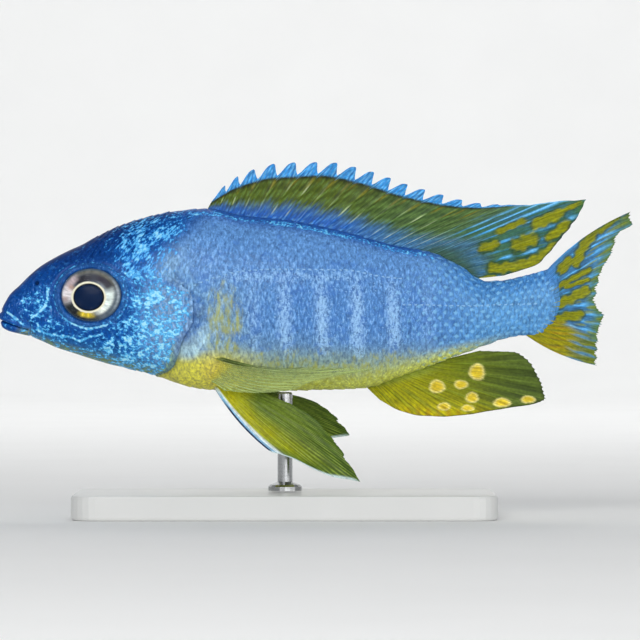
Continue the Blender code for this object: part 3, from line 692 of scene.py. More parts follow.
# Attributes that a scale takes from the skin, and those that it is laid out with
GROWN = {"ground": "FLOAT_COLOR"}
GROWN |= dict.fromkeys(("lines", "flecks", "dashes", "straw", "bars", "spotted"), "FLOAT")
LAID = dict.fromkeys(("root", "size", "patch", "flat"), "FLOAT_VECTOR")


def grid_faces(columns, rows):
    """Faces of a sheet of points, columns by rows of them."""
    tall = rows + 1
    starts = [i * tall + j for i in range(columns) for j in range(rows)]
    return [(at, at + tall, at + tall + 1, at + 1) for at in starts]


def face_outward(mesh):
    """Turns the faces of a closed mesh outwards, and shades it smooth."""
    shape = bmesh.new()
    shape.from_mesh(mesh)
    bmesh.ops.recalc_face_normals(shape, faces=shape.faces)
    shape.to_mesh(mesh)
    shape.free()
    mesh.shade_smooth()


def scale_shape(columns, rows, thickness, crown):
    """One plate, of length and width one, from its root at x = 0 to its free edge at x = 1.

    Heights are in mm: the root lies just under the skin and the free edge stands over it.
    """
    top = []
    for i in range(columns + 1):
        x = 1 - (1 - i / columns) ** 1.35
        half = 0.5 * (0.72 + 0.28 * math.sin(math.pi / 2 * min(x / WIDEST_AT, 1)))
        if x > WIDEST_AT:
            beyond = (x - WIDEST_AT) / (1 - WIDEST_AT)
            half = 0.5 * max(1 - beyond**2.6, 0.03) ** (1 / 2.2)
        for j in range(rows + 1):
            across = 2 * j / rows - 1
            lift = -0.1 + 0.3 * x + crown * (1 - across * across)
            top.append((x, half * across, lift))
    width = rows + 1
    rim = list(range(width))
    rim += [i * width + rows for i in range(1, columns + 1)]
    rim += [columns * width + j for j in range(rows - 1, -1, -1)]
    rim += [i * width for i in range(columns - 1, 0, -1)]
    points = top + [(top[i][0], top[i][1], top[i][2] - thickness) for i in rim]
    faces = grid_faces(columns, rows)
    under = len(top)
    for k, one in enumerate(rim):
        following = (k + 1) % len(rim)
        faces.append((one, rim[following], under + following, under + k))
    faces.append(tuple(under + k for k in range(len(rim))))
    mesh = bpy.data.meshes.new("plate")
    mesh.from_pydata([(px, py, pz * MM) for px, py, pz in points], [], faces)
    face_outward(mesh)
    mesh.set_sharp_from_angle(angle=math.radians(50))
    x, y = np.array(points).T[:2]
    put_attribute(mesh, "patch", np.stack([x, y + 0.5, 0 * x], axis=1), "FLOAT_VECTOR")
    put_attribute(mesh, "tip", x)
    put_attribute(mesh, "spot", oval(x, y, SPOT_AT, 0, SPOT_REACH, SPOT_REACH))
    return new_object("plate", mesh)


def scale_tree():
    """Geometry Nodes: lays plates out on the skin's unwrap, then wraps them on the skin."""
    tree = bpy.data.node_groups.new("scales on skin", "GeometryNodeTree")
    sockets = {}
    for name, kind in (
        ("Roots", "NodeSocketGeometry"),
        ("Skin", "NodeSocketObject"),
        ("Plate", "NodeSocketObject"),
        ("Turn in degrees", "NodeSocketFloat"),
        ("Seed", "NodeSocketInt"),
        ("Finish", "NodeSocketMaterial"),
    ):
        sockets[name] = tree.interface.new_socket(name, in_out="INPUT", socket_type=kind).identifier
    tree.interface.new_socket("Scales", in_out="OUTPUT", socket_type="NodeSocketGeometry")
    given = add_node(tree, "NodeGroupInput", {})
    skin_mesh = add_node(tree, "GeometryNodeObjectInfo", {0: given["Skin"]})["Geometry"]
    plate = add_node(tree, "GeometryNodeObjectInfo", {0: given["Plate"]})["Geometry"]

    read = {}
    for name, kind in {**GROWN, **LAID, "OFBake": "FLOAT_VECTOR"}.items():
        inputs = {"Name": name}
        found = add_node(tree, "GeometryNodeInputNamedAttribute", inputs, data_type=kind)
        read[name] = found["Attribute"]
    turn = add_node(tree, "Math", {0: given["Turn in degrees"]}, operation="RADIANS")[0]
    back = add_node(tree, "Math", {0: turn, 1: -1.0}, operation="MULTIPLY")[0]
    inputs = {2: back, 3: turn, "Seed": given["Seed"]}
    sway = add_node(tree, "FunctionNodeRandomValue", inputs, data_type="FLOAT")[1]
    rotation = add_node(tree, "CombineXYZ", {"Z": sway})[0]
    inputs = {"Points": given["Roots"], "Instance": plate, "Rotation": rotation, "Scale": read["size"]}
    laid = add_node(tree, "GeometryNodeInstanceOnPoints", inputs)[0]
    plates = add_node(tree, "GeometryNodeRealizeInstances", {0: laid})[0]
    position = add_node(tree, "GeometryNodeInputPosition", {})[0]
    normal = add_node(tree, "GeometryNodeInputNormal", {})[0]
    on_sheet = add_node(tree, "SeparateXYZ", {0: position})
    round_body = add_node(tree, "Math", {0: on_sheet[1]}, operation="FRACT")[0]
    flat = add_node(tree, "CombineXYZ", {0: on_sheet[0], 1: round_body, 2: on_sheet[2]})[0]
    inputs = {"Geometry": plates, "Name": "flat", "Value": flat}
    plates = add_node(tree, "GeometryNodeStoreNamedAttribute", inputs, data_type="FLOAT_VECTOR")[0]
    sampled = {}
    wanted = [(name, kind, read[name]) for name, kind in GROWN.items()]
    wanted += [("place", "FLOAT_VECTOR", position), ("outward", "FLOAT_VECTOR", normal)]
    for name, kind, value in wanted:
        inputs = {"Mesh": skin_mesh, "Value": value}
        inputs |= {"Source UV Map": read["OFBake"], "Sample UV": read["flat"]}
        sampled[name] = add_node(tree, "GeometryNodeSampleUVSurface", inputs, data_type=kind)["Value"]
    for name, kind in GROWN.items():
        inputs = {"Geometry": plates, "Name": name, "Value": sampled[name]}
        plates = add_node(tree, "GeometryNodeStoreNamedAttribute", inputs, data_type=kind)[0]
    lift = add_node(tree, "SeparateXYZ", {0: read["flat"]})[2]
    raised = add_node(tree, "VectorMath", {0: sampled["outward"], "Scale": lift}, operation="SCALE")[0]
    place = add_node(tree, "VectorMath", {0: sampled["place"], 1: raised}, operation="ADD")[0]
    wrapped = add_node(tree, "GeometryNodeSetPosition", {"Geometry": plates, "Position": place})[0]
    inputs = {0: read["patch"], 1: (0.5, 0.5, 0)}
    off_middle = add_node(tree, "VectorMath", inputs, operation="SUBTRACT")[0]
    small = add_node(tree, "VectorMath", {0: off_middle, "Scale": PATCH}, operation="SCALE")[0]
    bake = add_node(tree, "VectorMath", {0: read["root"], 1: small}, operation="ADD")[0]
    inputs = {"Geometry": wrapped, "Name": "OFBake", "Value": bake}
    kind = {"data_type": "FLOAT2", "domain": "CORNER"}
    mapped = add_node(tree, "GeometryNodeStoreNamedAttribute", inputs, **kind)[0]
    painted = add_node(tree, "GeometryNodeSetMaterial", {"Geometry": mapped, "Material": given["Finish"]})
    add_node(tree, "NodeGroupOutput", {0: painted[0]})
    return tree, sockets


def scale_rows(start, stop, step, row_gap, wanted):
    """Roots in rows along the body, every other column set half a row off.

    step and row_gap give the half spacing along and the whole spacing across at s, and
    wanted says which places of (s, z) are scaled.
    """
    found = []
    at, column = start, 0
    while at < stop:
        ring = min(np.searchsorted(table_s, at), len(table_s) - 1)
        gap = row_gap(at)
        round_body = np.interp(at, table_s, girth)
        level = np.interp(at, table_s, middle)
        rows = np.arange(-20, 21) + 0.5 * (column % 2)
        share = level + rows * gap / round_body
        inside = (share > 0.25 * gap / round_body) & (share < 0.5 - 0.2 * gap / round_body)
        share = share[inside]
        z = table_z[ring, np.round(share * SKIN_SIDES).astype(int) % SKIN_SIDES]
        length, width = step(at) * 2 * SCALE_LENGTH, gap * SCALE_WIDTH / round_body
        for one in share[wanted(np.full(len(share), at), z)]:
            found += [(at, one, length, width), (at, 1 - one, length, width)]
        at += step(at)
        column += 1
    return np.array(found)


def scales(name, rows, plate, turn, seed, finish):
    """The plates of one part of the body as one piece, each turned by up to turn degrees."""
    mesh = bpy.data.meshes.new("roots")
    roots = np.stack([rows[:, 0] / UNWRAP, rows[:, 1], 0 * rows[:, 0]], axis=1)
    mesh.from_pydata(roots.tolist(), [], [])
    put_attribute(mesh, "root", roots, "FLOAT_VECTOR")
    lying = 1 - 0.7 * rise(rows[:, 0], 98, 109)
    sizes = np.stack([rows[:, 2] / UNWRAP, rows[:, 3], lying], axis=1)
    put_attribute(mesh, "size", sizes, "FLOAT_VECTOR")
    bed = new_object("roots", mesh)
    grow = bed.modifiers.new("scales", "NODES")
    grow.node_group = SCALE_TREE
    given = {"Skin": skin, "Plate": plate, "Turn in degrees": turn, "Seed": seed, "Finish": finish}
    for socket, value in given.items():
        grow[SCALE_SOCKETS[socket]] = value
    bpy.context.view_layer.update()
    graph = bpy.context.evaluated_depsgraph_get()
    grown = bpy.data.meshes.new_from_object(bed.evaluated_get(graph))
    bpy.data.objects.remove(bed)
    made = new_piece(name, grown, finish)
    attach(made, "root")
    return made


SCALE_TREE, SCALE_SOCKETS = scale_tree()
scale_resin = resin_paint("varnished resin scales", True)
flank_plate = scale_shape(4, 8, 0.1, 0.05)
face_plate = scale_shape(3, 4, 0.07, 0.03)


def flank_step(at):
    """Half the spacing of the flank's scales along the body."""
    return 1.06 - 0.3 * rise(at, 96, 106)


def flank_gap(at):
    """Spacing of the flank's rows."""
    return 3.5 - 1.2 * rise(at, 66, 100)


def on_flank(s, z):
    """Whether a place lies behind the gill cover and before the tail fin."""
    behind = s - gill_edge(z)
    return (behind > 0.1) & (s + 1.5 < tail_root(z))


def on_face(s, z):
    """Whether a place lies on cheek, gill cover or nape."""
    behind = s - gill_edge(z)
    return (scaled_skin(s, z) > 0.8) & (np.where(z > 48.5, behind < -0.6, behind < -2.0))


flank_rows = scale_rows(30.6, 110, flank_step, flank_gap, on_flank)
flank_scales = scales("flank_scales", flank_rows, flank_plate, 4.0, 3, scale_resin)
face_rows = scale_rows(12, 39, lambda at: FACE_STEP, lambda at: FACE_GAP, on_face)
face_scales = scales("face_scales", face_rows, face_plate, 9.0, 5, scale_resin)


# Lateral line
# Two rows of short raised tubes on each side, one to a scale, moulded with the scales and
# touched in with pale blue. The upper row runs under the back, the lower along the stalk.
TUBE_ROWS = (
    ((38.6, 46.4), (43.0, 48.0), (47, 49.0), (55.2, 49.5), (68.4, 49.4), (75.6, 48.1), (80.0, 47.6)),
    ((80.0, 42.4), (95.0, 42.3), (107.4, 42.6)),
)
TUBE_PITCH = 1.2
TUBE_SIZE = (1.0, 0.46)

# Pale varnished resin: a blue dash that fades into the flank, with a dark pore at its end,
# painted shade for an opening that the tube does not have
finish = {"Roughness": 0.35, "Specular IOR Level": 0.3}
tube_paint, tree, shader, _ = new_material("pale varnished resin", finish)
ground = add_node(tree, "Attribute", {}, attribute_name="ground")["Color"]
tip = add_node(tree, "Attribute", {}, attribute_name="tip")["Fac"]
pale = add_node(tree, "MapRange", {0: tip, 1: 0.15, 2: 0.5, 3: 0.1, 4: 0.55})[0]
colour = add_node(tree, "Mix", {0: pale, 6: ground, 7: linear("#a4d0f4")}, data_type="RGBA")[2]
# Painted shade: the pore at the tube's end
pore = add_node(tree, "MapRange", {0: tip, 1: 0.84, 2: 0.95, 3: 0.0, 4: 0.85})[0]
colour = add_node(tree, "Mix", {0: pore, 6: colour, 7: linear("#1c3c66")}, data_type="RGBA")[2]
set_inputs(shader, {"Base Color": colour})
tube_places = []
for points in TUBE_ROWS:
    row_s, row_z = zip(*points)
    for at in np.arange(row_s[0], row_s[-1], TUBE_PITCH):
        level = smooth(row_s, row_z, at)
        left_side = table_z[np.searchsorted(table_s, at), : SKIN_SIDES // 2 + 1]
        share = np.interp(level, left_side, np.arange(SKIN_SIDES // 2 + 1) / SKIN_SIDES)
        width = TUBE_SIZE[1] / np.interp(at, table_s, girth)
        tube_places += [(at, share, TUBE_SIZE[0], width), (at, 1 - share, TUBE_SIZE[0], width)]
tube_plate = scale_shape(3, 4, 0.1, 0.22)
lateral_line = scales("lateral_line", np.array(tube_places), tube_plate, 3.0, 8, tube_paint)
for helper in (flank_plate, face_plate, tube_plate):
    bpy.data.objects.remove(helper)


# Eyes
# Each eye is a painted iris with a dark lens in it, under a clear cornea cast in acrylic.
# It is set from inside into the orbit, so that its edge lies under the rim.
EYE_YAW = math.radians(10)
EYE_SPOKES = 96
# Shares of the orbit's radius
PUPIL = 0.5
PUPIL_SHIFT = (-0.05, -0.07)
EYE_EDGE = 0.985
CORNEA = 0.12  # thickness

# Painted iris: silver foil and enamel, with a cream gold ring round the pupil
finish = {"Roughness": 0.3, "Coat Weight": 0.05, "Coat Roughness": 0.05, "Specular IOR Level": 0.06}
iris_paint, tree, shader, _ = new_material("painted silver iris", finish)
disc = add_node(tree, "Attribute", {}, attribute_name="disc")["Vector"]
sweep = add_node(tree, "Attribute", {}, attribute_name="sweep")["Vector"]
iris_ground = add_node(tree, "Attribute", {}, attribute_name="ground")["Color"]
inputs = {0: disc, 1: (PUPIL_SHIFT[0], PUPIL_SHIFT[1], 0)}
off_pupil = add_node(tree, "VectorMath", inputs, operation="SUBTRACT")[0]
radius = add_node(tree, "VectorMath", {0: off_pupil}, operation="LENGTH")["Value"]
rim = add_node(tree, "VectorMath", {0: disc}, operation="LENGTH")["Value"]
inputs = {"Vector": sweep, "Scale": 1.0, "Detail": 4, "Roughness": 0.65}
threads = add_node(tree, "TexNoise", inputs)["Fac"]
tone = add_node(tree, "MapRange", {0: threads, 1: 0.3, 2: 0.7, 3: 0.55, 4: 1.4})[0]
colour = add_node(tree, "VectorMath", {0: iris_ground, "Scale": tone}, operation="SCALE")[0]
ragged = add_node(tree, "Math", {0: threads, 1: 0.08, 2: radius}, operation="MULTIPLY_ADD")[0]
for paint, where, low, high, strength in (
    # The blue-grey rim, the cream gold ring, its black border, and the blue-black lens
    ("#35526e", rim, 0.88, 0.97, 0.8),
    ("#f6f2d8", ragged, 0.635, 0.6, 1.0),
    ("#05070c", radius, 0.515, 0.5, 1.0),
    ("#081f42", radius, 0.47, 0.45, 1.0),
):
    colour = paint_over(tree, colour, paint, where, low, high, strength)
bump = add_node(tree, "Bump", {"Height": threads, "Strength": 0.3, "Distance": 0.1 * MM})[0]
set_inputs(shader, {"Base Color": colour, "Normal": bump})

# Clear cast acrylic: the eye gets its wet highlights from it, and is seen through it
finish = {"Roughness": 0.03, "Transmission Weight": 1.0, "IOR": 1.34, "Alpha": 0.05}
cornea_acrylic = new_material("clear acrylic cornea", finish)[0]


def iris_colours(across, up):
    """Bright and dark arcs of the iris round the pupil, at shares of the eye's radius."""
    turn = np.degrees(np.arctan2(up - PUPIL_SHIFT[1], across - PUPIL_SHIFT[0]))
    radius = np.hypot(across, up)

    def arc(middle, reach, low, high):
        off = np.abs((turn - middle + 180) % 360 - 180)
        within = rise(radius, low - 0.1, low + 0.02) * fall(radius, high - 0.02, high + 0.1)
        return fall(off, 0.3 * reach, 1.2 * reach) * within

    return layered(
        "#8b949a",
        ("#454a5c", 0.95 * arc(95, 62, 0.4, 1.0)),
        ("#2a2634", arc(48, 38, 0.62, 0.86)),
        ("#22232c", 0.9 * arc(105, 36, 0.58, 0.74)),
        ("#6f7064", 0.8 * arc(80, 70, 0.84, 0.95)),
        ("#c9b7bb", 0.9 * arc(140, 26, 0.72, 0.88)),
        ("#a8826a", 0.8 * arc(152, 14, 0.62, 0.74)),
        ("#f2ecee", arc(178, 30, 0.5, 0.92)),
        ("#c9a9a4", 0.7 * arc(184, 8, 0.8, 0.92)),
        ("#2b3034", arc(-138, 40, 0.56, 0.92)),
        ("#23282c", 0.9 * arc(-92, 42, 0.78, 0.94)),
        ("#ead040", arc(-97, 26, 0.4, 0.78)),
        ("#eef4ea", arc(-50, 20, 0.4, 0.74)),
        ("#e6f2ec", arc(-8, 36, 0.4, 0.76)),
        ("#4a5a68", 0.8 * arc(-25, 50, 0.8, 0.93)),
        ("#d4dfe4", 0.8 * arc(5, 42, 0.93, 0.96)),
    )


def eye_points(shares, heights, sign):
    """Rings of the eye at shares of its radius and heights along its axis, on one side."""
    turn = math.tau * np.arange(EYE_SPOKES) / EYE_SPOKES
    inward = fall(np.asarray(shares), PUPIL, 0.9)[:, None]
    across = np.outer(shares, np.cos(turn)) + PUPIL_SHIFT[0] * inward
    above = np.outer(shares, np.sin(turn)) + PUPIL_SHIFT[1] * inward
    along, up = across * ORBIT[0], above * ORBIT[1]
    out = np.repeat(np.asarray(heights)[:, None], EYE_SPOKES, axis=1)
    s = EYE_CENTRE[0] + along * math.cos(EYE_YAW) - out * math.sin(EYE_YAW)
    y = sign * (EYE_CENTRE[1] + out * math.cos(EYE_YAW) + along * math.sin(EYE_YAW))
    return np.stack([s, y, EYE_CENTRE[2] + up], axis=-1), across, above


def eye_shell(shares, heights, sign):
    """A closed shell of rings, with a point at its front and at its back."""
    rings, discs_x, discs_y = eye_points(shares, heights, sign)
    ends = [rings[0].mean(axis=0), rings[-1].mean(axis=0)]
    points = np.concatenate([rings.reshape(-1, 3), ends])
    mesh = new_mesh(points, shell_faces(len(shares), EYE_SPOKES))
    face_outward(mesh)
    disc = np.stack([discs_x.ravel(), discs_y.ravel(), 0 * discs_x.ravel()], axis=1)
    disc = np.concatenate([disc, [(*PUPIL_SHIFT, 0), (0, 0, 0)]])
    from_pupil = disc - (*PUPIL_SHIFT, 0)
    share = np.linalg.norm(from_pupil, axis=1, keepdims=True)
    put_attribute(mesh, "disc", disc, "FLOAT_VECTOR")
    put_attribute(mesh, "ground", iris_colours(disc[:, 0], disc[:, 1]), "FLOAT_COLOR")
    threads = from_pupil / np.maximum(share, 0.01) * 7
    threads[:, 2] = share[:, 0] * 2.5
    put_attribute(mesh, "sweep", threads, "FLOAT_VECTOR")
    return mesh


lens_share = np.linspace(0.03, PUPIL, 12)
iris_share = np.linspace(PUPIL + 0.012, EYE_EDGE, 30)
wall_share = np.array([0.99, 0.97, 0.85, 0.6, 0.3])
lens_height = 0.5 + 0.7 * np.sqrt(1 - (lens_share / (PUPIL * 1.001)) ** 2)
iris_height = 0.1 + 0.72 * (1 - iris_share**2) + 0.1 * hump(iris_share, 0.56, 0.07)
wall_height = np.array([-0.4, -1.2, -2.2, -3.3, -3.9])
shares = np.concatenate([lens_share, iris_share, wall_share])
heights = np.concatenate([lens_height, iris_height, wall_height])
dome_share = np.linspace(0.03, EYE_EDGE, 22)
dome_height = 0.2 + 1.6 * np.sqrt(1 - dome_share**2)
cornea_share = np.concatenate([dome_share, dome_share[::-1]])
cornea_height = np.concatenate([dome_height, dome_height[::-1] - CORNEA])
for side, sign in (("left", -1), ("right", 1)):
    eye = new_piece(f"eye_ball_{side}", eye_shell(shares, heights, sign), iris_paint)
    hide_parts(f"eye_{side}")
    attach(eye, "root")
    dome = eye_shell(cornea_share, cornea_height, sign)
    cornea = new_piece(f"cornea_{side}", dome, cornea_acrylic)
    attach(cornea, "root")


# Dorsal fin
# A tinted resin membrane over sixteen spines and ten branched soft rays, cast as one thin
# sheet and set in a slot along the back. Each spine has a sky-blue flag behind its tip.
FIN_COLUMNS = 12  # from one ray to the next
# Thickness of the membrane, and of spines and soft rays at root and tip
MEMBRANE = 0.24
LEAST_MEMBRANE = 0.07
SPINE_RIDGE = (0.95, 0.34)
SOFT_RIDGE = (0.62, 0.2)
RAY_JOINTS = 26  # in each ray
DORSAL_RAYS = 26
DORSAL_SPINES = 16


def through(knots):
    """The place (s, y, z) at any ray number on the curve through knots of (ray, s, y, z)."""
    at, *tables = np.array(knots, float).T
    return lambda ray: np.stack([smooth(at, table, ray) for table in tables], axis=-1)


def off_ray(ray):
    """Distance from the nearest ray, as a share of the space between two."""
    return np.abs(ray - np.round(ray))


def notches(ray):
    """Four small notches of a torn edge from each ray to the next."""
    return np.abs(np.sin(ray * math.tau * 2))


def ray_pattern(ray, share, spines):
    """Relief of spines and of soft rays that part in two, and in two again, towards the edge.

    Returns one on the crest of a ray, falling to zero off it, and which rays are spines.
    """
    number = np.round(ray)
    off = ray - number
    spiny = number < spines
    fork = 0.21 * rise(share, 0.3, 1)
    twig = 0.09 * rise(share, 0.6, 1)
    width = 0.12 - 0.05 * rise(share, 0.2, 0.9)
    soft = np.zeros_like(off)
    for branch in (-1, 1):
        for leaf in (-1, 1):
            soft = np.maximum(soft, hump(off, branch * fork + leaf * twig, width))
    return np.where(spiny, hump(off, 0, 0.13), soft), spiny


def fin_sheet(rays, spines, rows, root, edge, reach_at, paint, bow=None, sink=0.8, wave=0.12, flesh=0.0):
    """A closed sheet from under the skin to its edge, with its rays raised on both faces.

    root and edge give places at a ray number. reach_at gives how far out the edge lies, as
    a share of the way to the curve of tips, and paint gives the colours at (ray, share, s,
    z). In mm, bow bends the rays, sink is how deep the root lies, wave ripples the edge
    and flesh thickens the root.
    """
    columns = np.linspace(0, rays - 1, (rays - 1) * FIN_COLUMNS + 1)
    shares = np.linspace(0, 1, rows + 1) ** 0.9
    start, end = root(columns), edge(columns)
    span = end - start
    length = np.linalg.norm(span, axis=1, keepdims=True)
    start = start - span / length * sink
    ray, share = np.meshgrid(columns, shares, indexing="ij")
    reach = share * np.asarray(reach_at(columns, length[:, 0]))[:, None]
    up = np.stack([span[:, 2], 0 * span[:, 0], -span[:, 0]], axis=1) / -length
    grid = start[:, None] + (end - start)[:, None] * reach[..., None]
    if bow is not None:
        grid = grid + up[:, None] * (bow(columns)[:, None] * 4 * reach * (1 - reach))[..., None]
    grid[..., 1] += wave * np.sin(ray * 1.7 + 2 * share) * share
    crest, spiny = ray_pattern(ray, share, spines)
    ridge = np.where(spiny, SPINE_RIDGE[0], SOFT_RIDGE[0])
    ridge = ridge + (np.where(spiny, SPINE_RIDGE[1], SOFT_RIDGE[1]) - ridge) * share
    thick = MEMBRANE * (1 - 0.5 * share) + (ridge - 0.1) * crest + flesh * (1 - share) ** 3
    thick = np.maximum(thick * (1 - 0.75 * rise(share, 0.93, 1)), LEAST_MEMBRANE)
    by_ray, by_share = np.gradient(grid, axis=0), np.gradient(grid, axis=1)
    normal = np.cross(by_ray, by_share)
    normal /= np.linalg.norm(normal, axis=-1, keepdims=True) + 1e-12
    half = normal * (thick / 2)[..., None]
    front, rear = (grid + half).reshape(-1, 3), (grid - half).reshape(-1, 3)
    wide, tall = grid.shape[:2]
    count = wide * tall
    index = np.arange(count).reshape(wide, tall)
    rim = [int(i) for i in (*index[:, 0], *index[-1, 1:], *index[-2::-1, -1], *index[0, -2:0:-1])]
    faces = grid_faces(wide - 1, tall - 1)
    faces += [tuple(count + i for i in face[::-1]) for face in faces]
    faces += [(a, count + a, count + b, b) for a, b in zip(rim, rim[1:] + rim[:1])]
    mesh = new_mesh(np.concatenate([front, rear]), faces)
    face_outward(mesh)
    ray, share = ray.ravel(), share.ravel()
    colours = paint(ray, share, grid[..., 0].ravel(), grid[..., 2].ravel())
    on_fin = np.stack([ray, share, 0 * share], axis=1)
    put_attribute(mesh, "ground", np.concatenate([colours, colours]), "FLOAT_COLOR")
    put_attribute(mesh, "crest", np.tile(crest.ravel(), 2))
    put_attribute(mesh, "fin", np.concatenate([on_fin, on_fin]), "FLOAT_VECTOR")
    return mesh


def fin_resin(name, clear=0.0):
    """Tinted resin, cast thin: fine streaks run along the rays, which are jointed.

    With clear, the membrane between the rays lets that much of what is behind it through.
    """
    finish = {"Roughness": 0.45, "Coat Weight": 0.08, "Coat Roughness": 0.2, "Specular IOR Level": 0.15}
    made, tree, shader, place_mm = new_material(name, finish)
    ground = add_node(tree, "Attribute", {}, attribute_name="ground")["Color"]
    crest = add_node(tree, "Attribute", {}, attribute_name="crest")["Fac"]
    along = add_node(tree, "Attribute", {}, attribute_name="fin")["Vector"]
    stretched = add_node(tree, "VectorMath", {0: along, 1: (7, 4, 1)}, operation="MULTIPLY")[0]
    inputs = {"Vector": stretched, "Scale": 1.0, "Detail": 4, "Roughness": 0.7}
    streak = add_node(tree, "TexNoise", inputs)["Fac"]
    fine = add_node(tree, "TexNoise", {"Vector": place_mm, "Scale": 1.8, "Detail": 2})["Fac"]
    tone = add_node(tree, "MapRange", {0: streak, 1: 0.3, 2: 0.7, 3: 0.5, 4: 1.35})[0]
    lit = add_node(tree, "Math", {0: crest, 1: 0.3, 2: tone}, operation="MULTIPLY_ADD")[0]
    speck = add_node(tree, "MapRange", {0: fine, 1: 0.3, 2: 0.7, 3: 0.82, 4: 1.14})[0]
    value = add_node(tree, "Math", {0: lit, 1: speck}, operation="MULTIPLY")[0]
    colour = add_node(tree, "VectorMath", {0: ground, "Scale": value}, operation="SCALE")[0]
    share = add_node(tree, "SeparateXYZ", {0: along})[1]
    beat = add_node(tree, "Math", {0: share, 1: RAY_JOINTS * math.tau}, operation="MULTIPLY")[0]
    joint = add_node(tree, "Math", {0: beat}, operation="SINE")[0]
    bumpy = add_node(tree, "Math", {0: joint, 1: crest}, operation="MULTIPLY")[0]
    height = add_node(tree, "Math", {0: bumpy, 1: 0.25, 2: streak}, operation="MULTIPLY_ADD")[0]
    bump = add_node(tree, "Bump", {"Height": height, "Strength": 0.35, "Distance": 0.12 * MM})[0]
    set_inputs(shader, {"Base Color": colour, "Normal": bump})
    if clear:
        solid = add_node(tree, "MapRange", {0: crest, 1: 0.2, 2: 0.7, 3: 1 - clear, 4: 0.92})[0]
        faired = add_node(tree, "MapRange", {0: share, 1: 0.02, 2: 0.2, 3: 0.0, 4: 1.0})[0]
        total = add_node(tree, "Math", {0: solid, 1: faired}, operation="MULTIPLY")[0]
        set_inputs(shader, {"Alpha": total})
    return made


def blotches(s, z, ray, spots):
    """One inside the spots, each a half width and the points (s, z) of a line, with wavy edges."""
    ragged = 0.1 * np.cos(ray * math.tau)
    ragged = ragged + 0.12 * np.sin(s * 1.9 + z * 2.3) + 0.06 * np.sin(s * 4.3 - z * 3.7)
    inside = np.zeros_like(s)
    for reach, *points in spots:
        mask = line_mask(s, z, points, reach * 1.8)
        inside = np.maximum(inside, rise(mask + ragged * np.minimum(4 * mask, 1), 0.0, 0.9))
    return inside


def blotch_paints(ray, share, spots):
    """Olive yellow inside the spots, under a few darker strokes, with a dark green border."""
    strokes = rise(np.sin(ray * 17) * np.sin(share * 29 + ray), 0.1, 0.7)
    return [
        ("#274a1c", 0.75 * rise(spots, 0.0, 0.3)),
        ("#8c8f08", rise(spots, 0.4, 0.95)),
        ("#5f6f10", 0.5 * rise(spots, 0.5, 0.8) * strokes),
    ]


def dorsal_root(ray):
    s = smooth((0, 1, 15, 25), (41.6, 43.6, 80.3, 95.7), ray)
    return np.stack([s, 0 * s, body_at(s)[0]], axis=-1)


dorsal_edge = through(
    [
        (0, 43.7, 0, 65.4), (2, 49.0, 0, 68.9), (4, 56.9, 0.1, 70.9), (6, 65.4, 0.1, 71.0),
        (8, 73.0, 0.1, 69.5), (11, 83.2, 0, 66.0), (15, 97.8, -0.3, 62.6),
        (17, 104.6, -0.6, 62.4), (19, 112.0, -0.8, 63.2), (20, 117.2, -0.8, 63.5),
        (21, 115.6, -0.5, 60.2), (23, 111.2, 0, 54.5), (24, 107.6, 0.1, 50.6),
        (25, 100.8, 0, 48.3),
    ]
)


def flag_height(ray):
    """Height of the flags over the membrane's edge, low between them and one at a spine."""
    behind = ray % 1
    rear = 1 - np.clip((behind - 0.52) / 0.46, 0, 1) ** 1.3
    return 0.08 + 0.92 * rise(behind, 0.0, 0.24) * rear * (0.72 + 0.28 * hump(behind, 0.46, 0.42))


def flag_size(ray):
    """Height of each spine's flag in mm."""
    return 2.0 + 1.1 * hump(ray, 5, 6) + 0.8 * hump(ray, 11, 5) - 0.7 * rise(ray, 12, 16)


def dorsal_reach(ray, length):
    flags = (1 - flag_height(ray)) * flag_size(ray) * fall(ray, 15.4, 16.2)
    ragged = 0.4 * off_ray(ray) * rise(ray, 16, 18) * (1 + np.sin(ray * 9.1))
    return 1 - (flags + ragged) / length


DORSAL_BLOTCHES = (
    (1.0, (96.6, 53.8), (98.8, 54.5)),
    (1.35, (103.4, 54.3), (106.4, 55.5)),
    (1.1, (107.2, 58.6), (111.6, 60.6)),
    (1.0, (110.0, 56.0), (113.2, 58.4)),
    (1.15, (98.6, 49.7), (102.4, 50.0), (106.0, 51.0), (109.2, 52.4), (111.4, 54.2)),
    (0.55, (96.4, 47.6), (98.8, 47.9)),
    (0.6, (99.6, 57.0), (104.6, 59.2)),
    (0.5, (112.6, 61.2), (116.0, 62.8)),
)


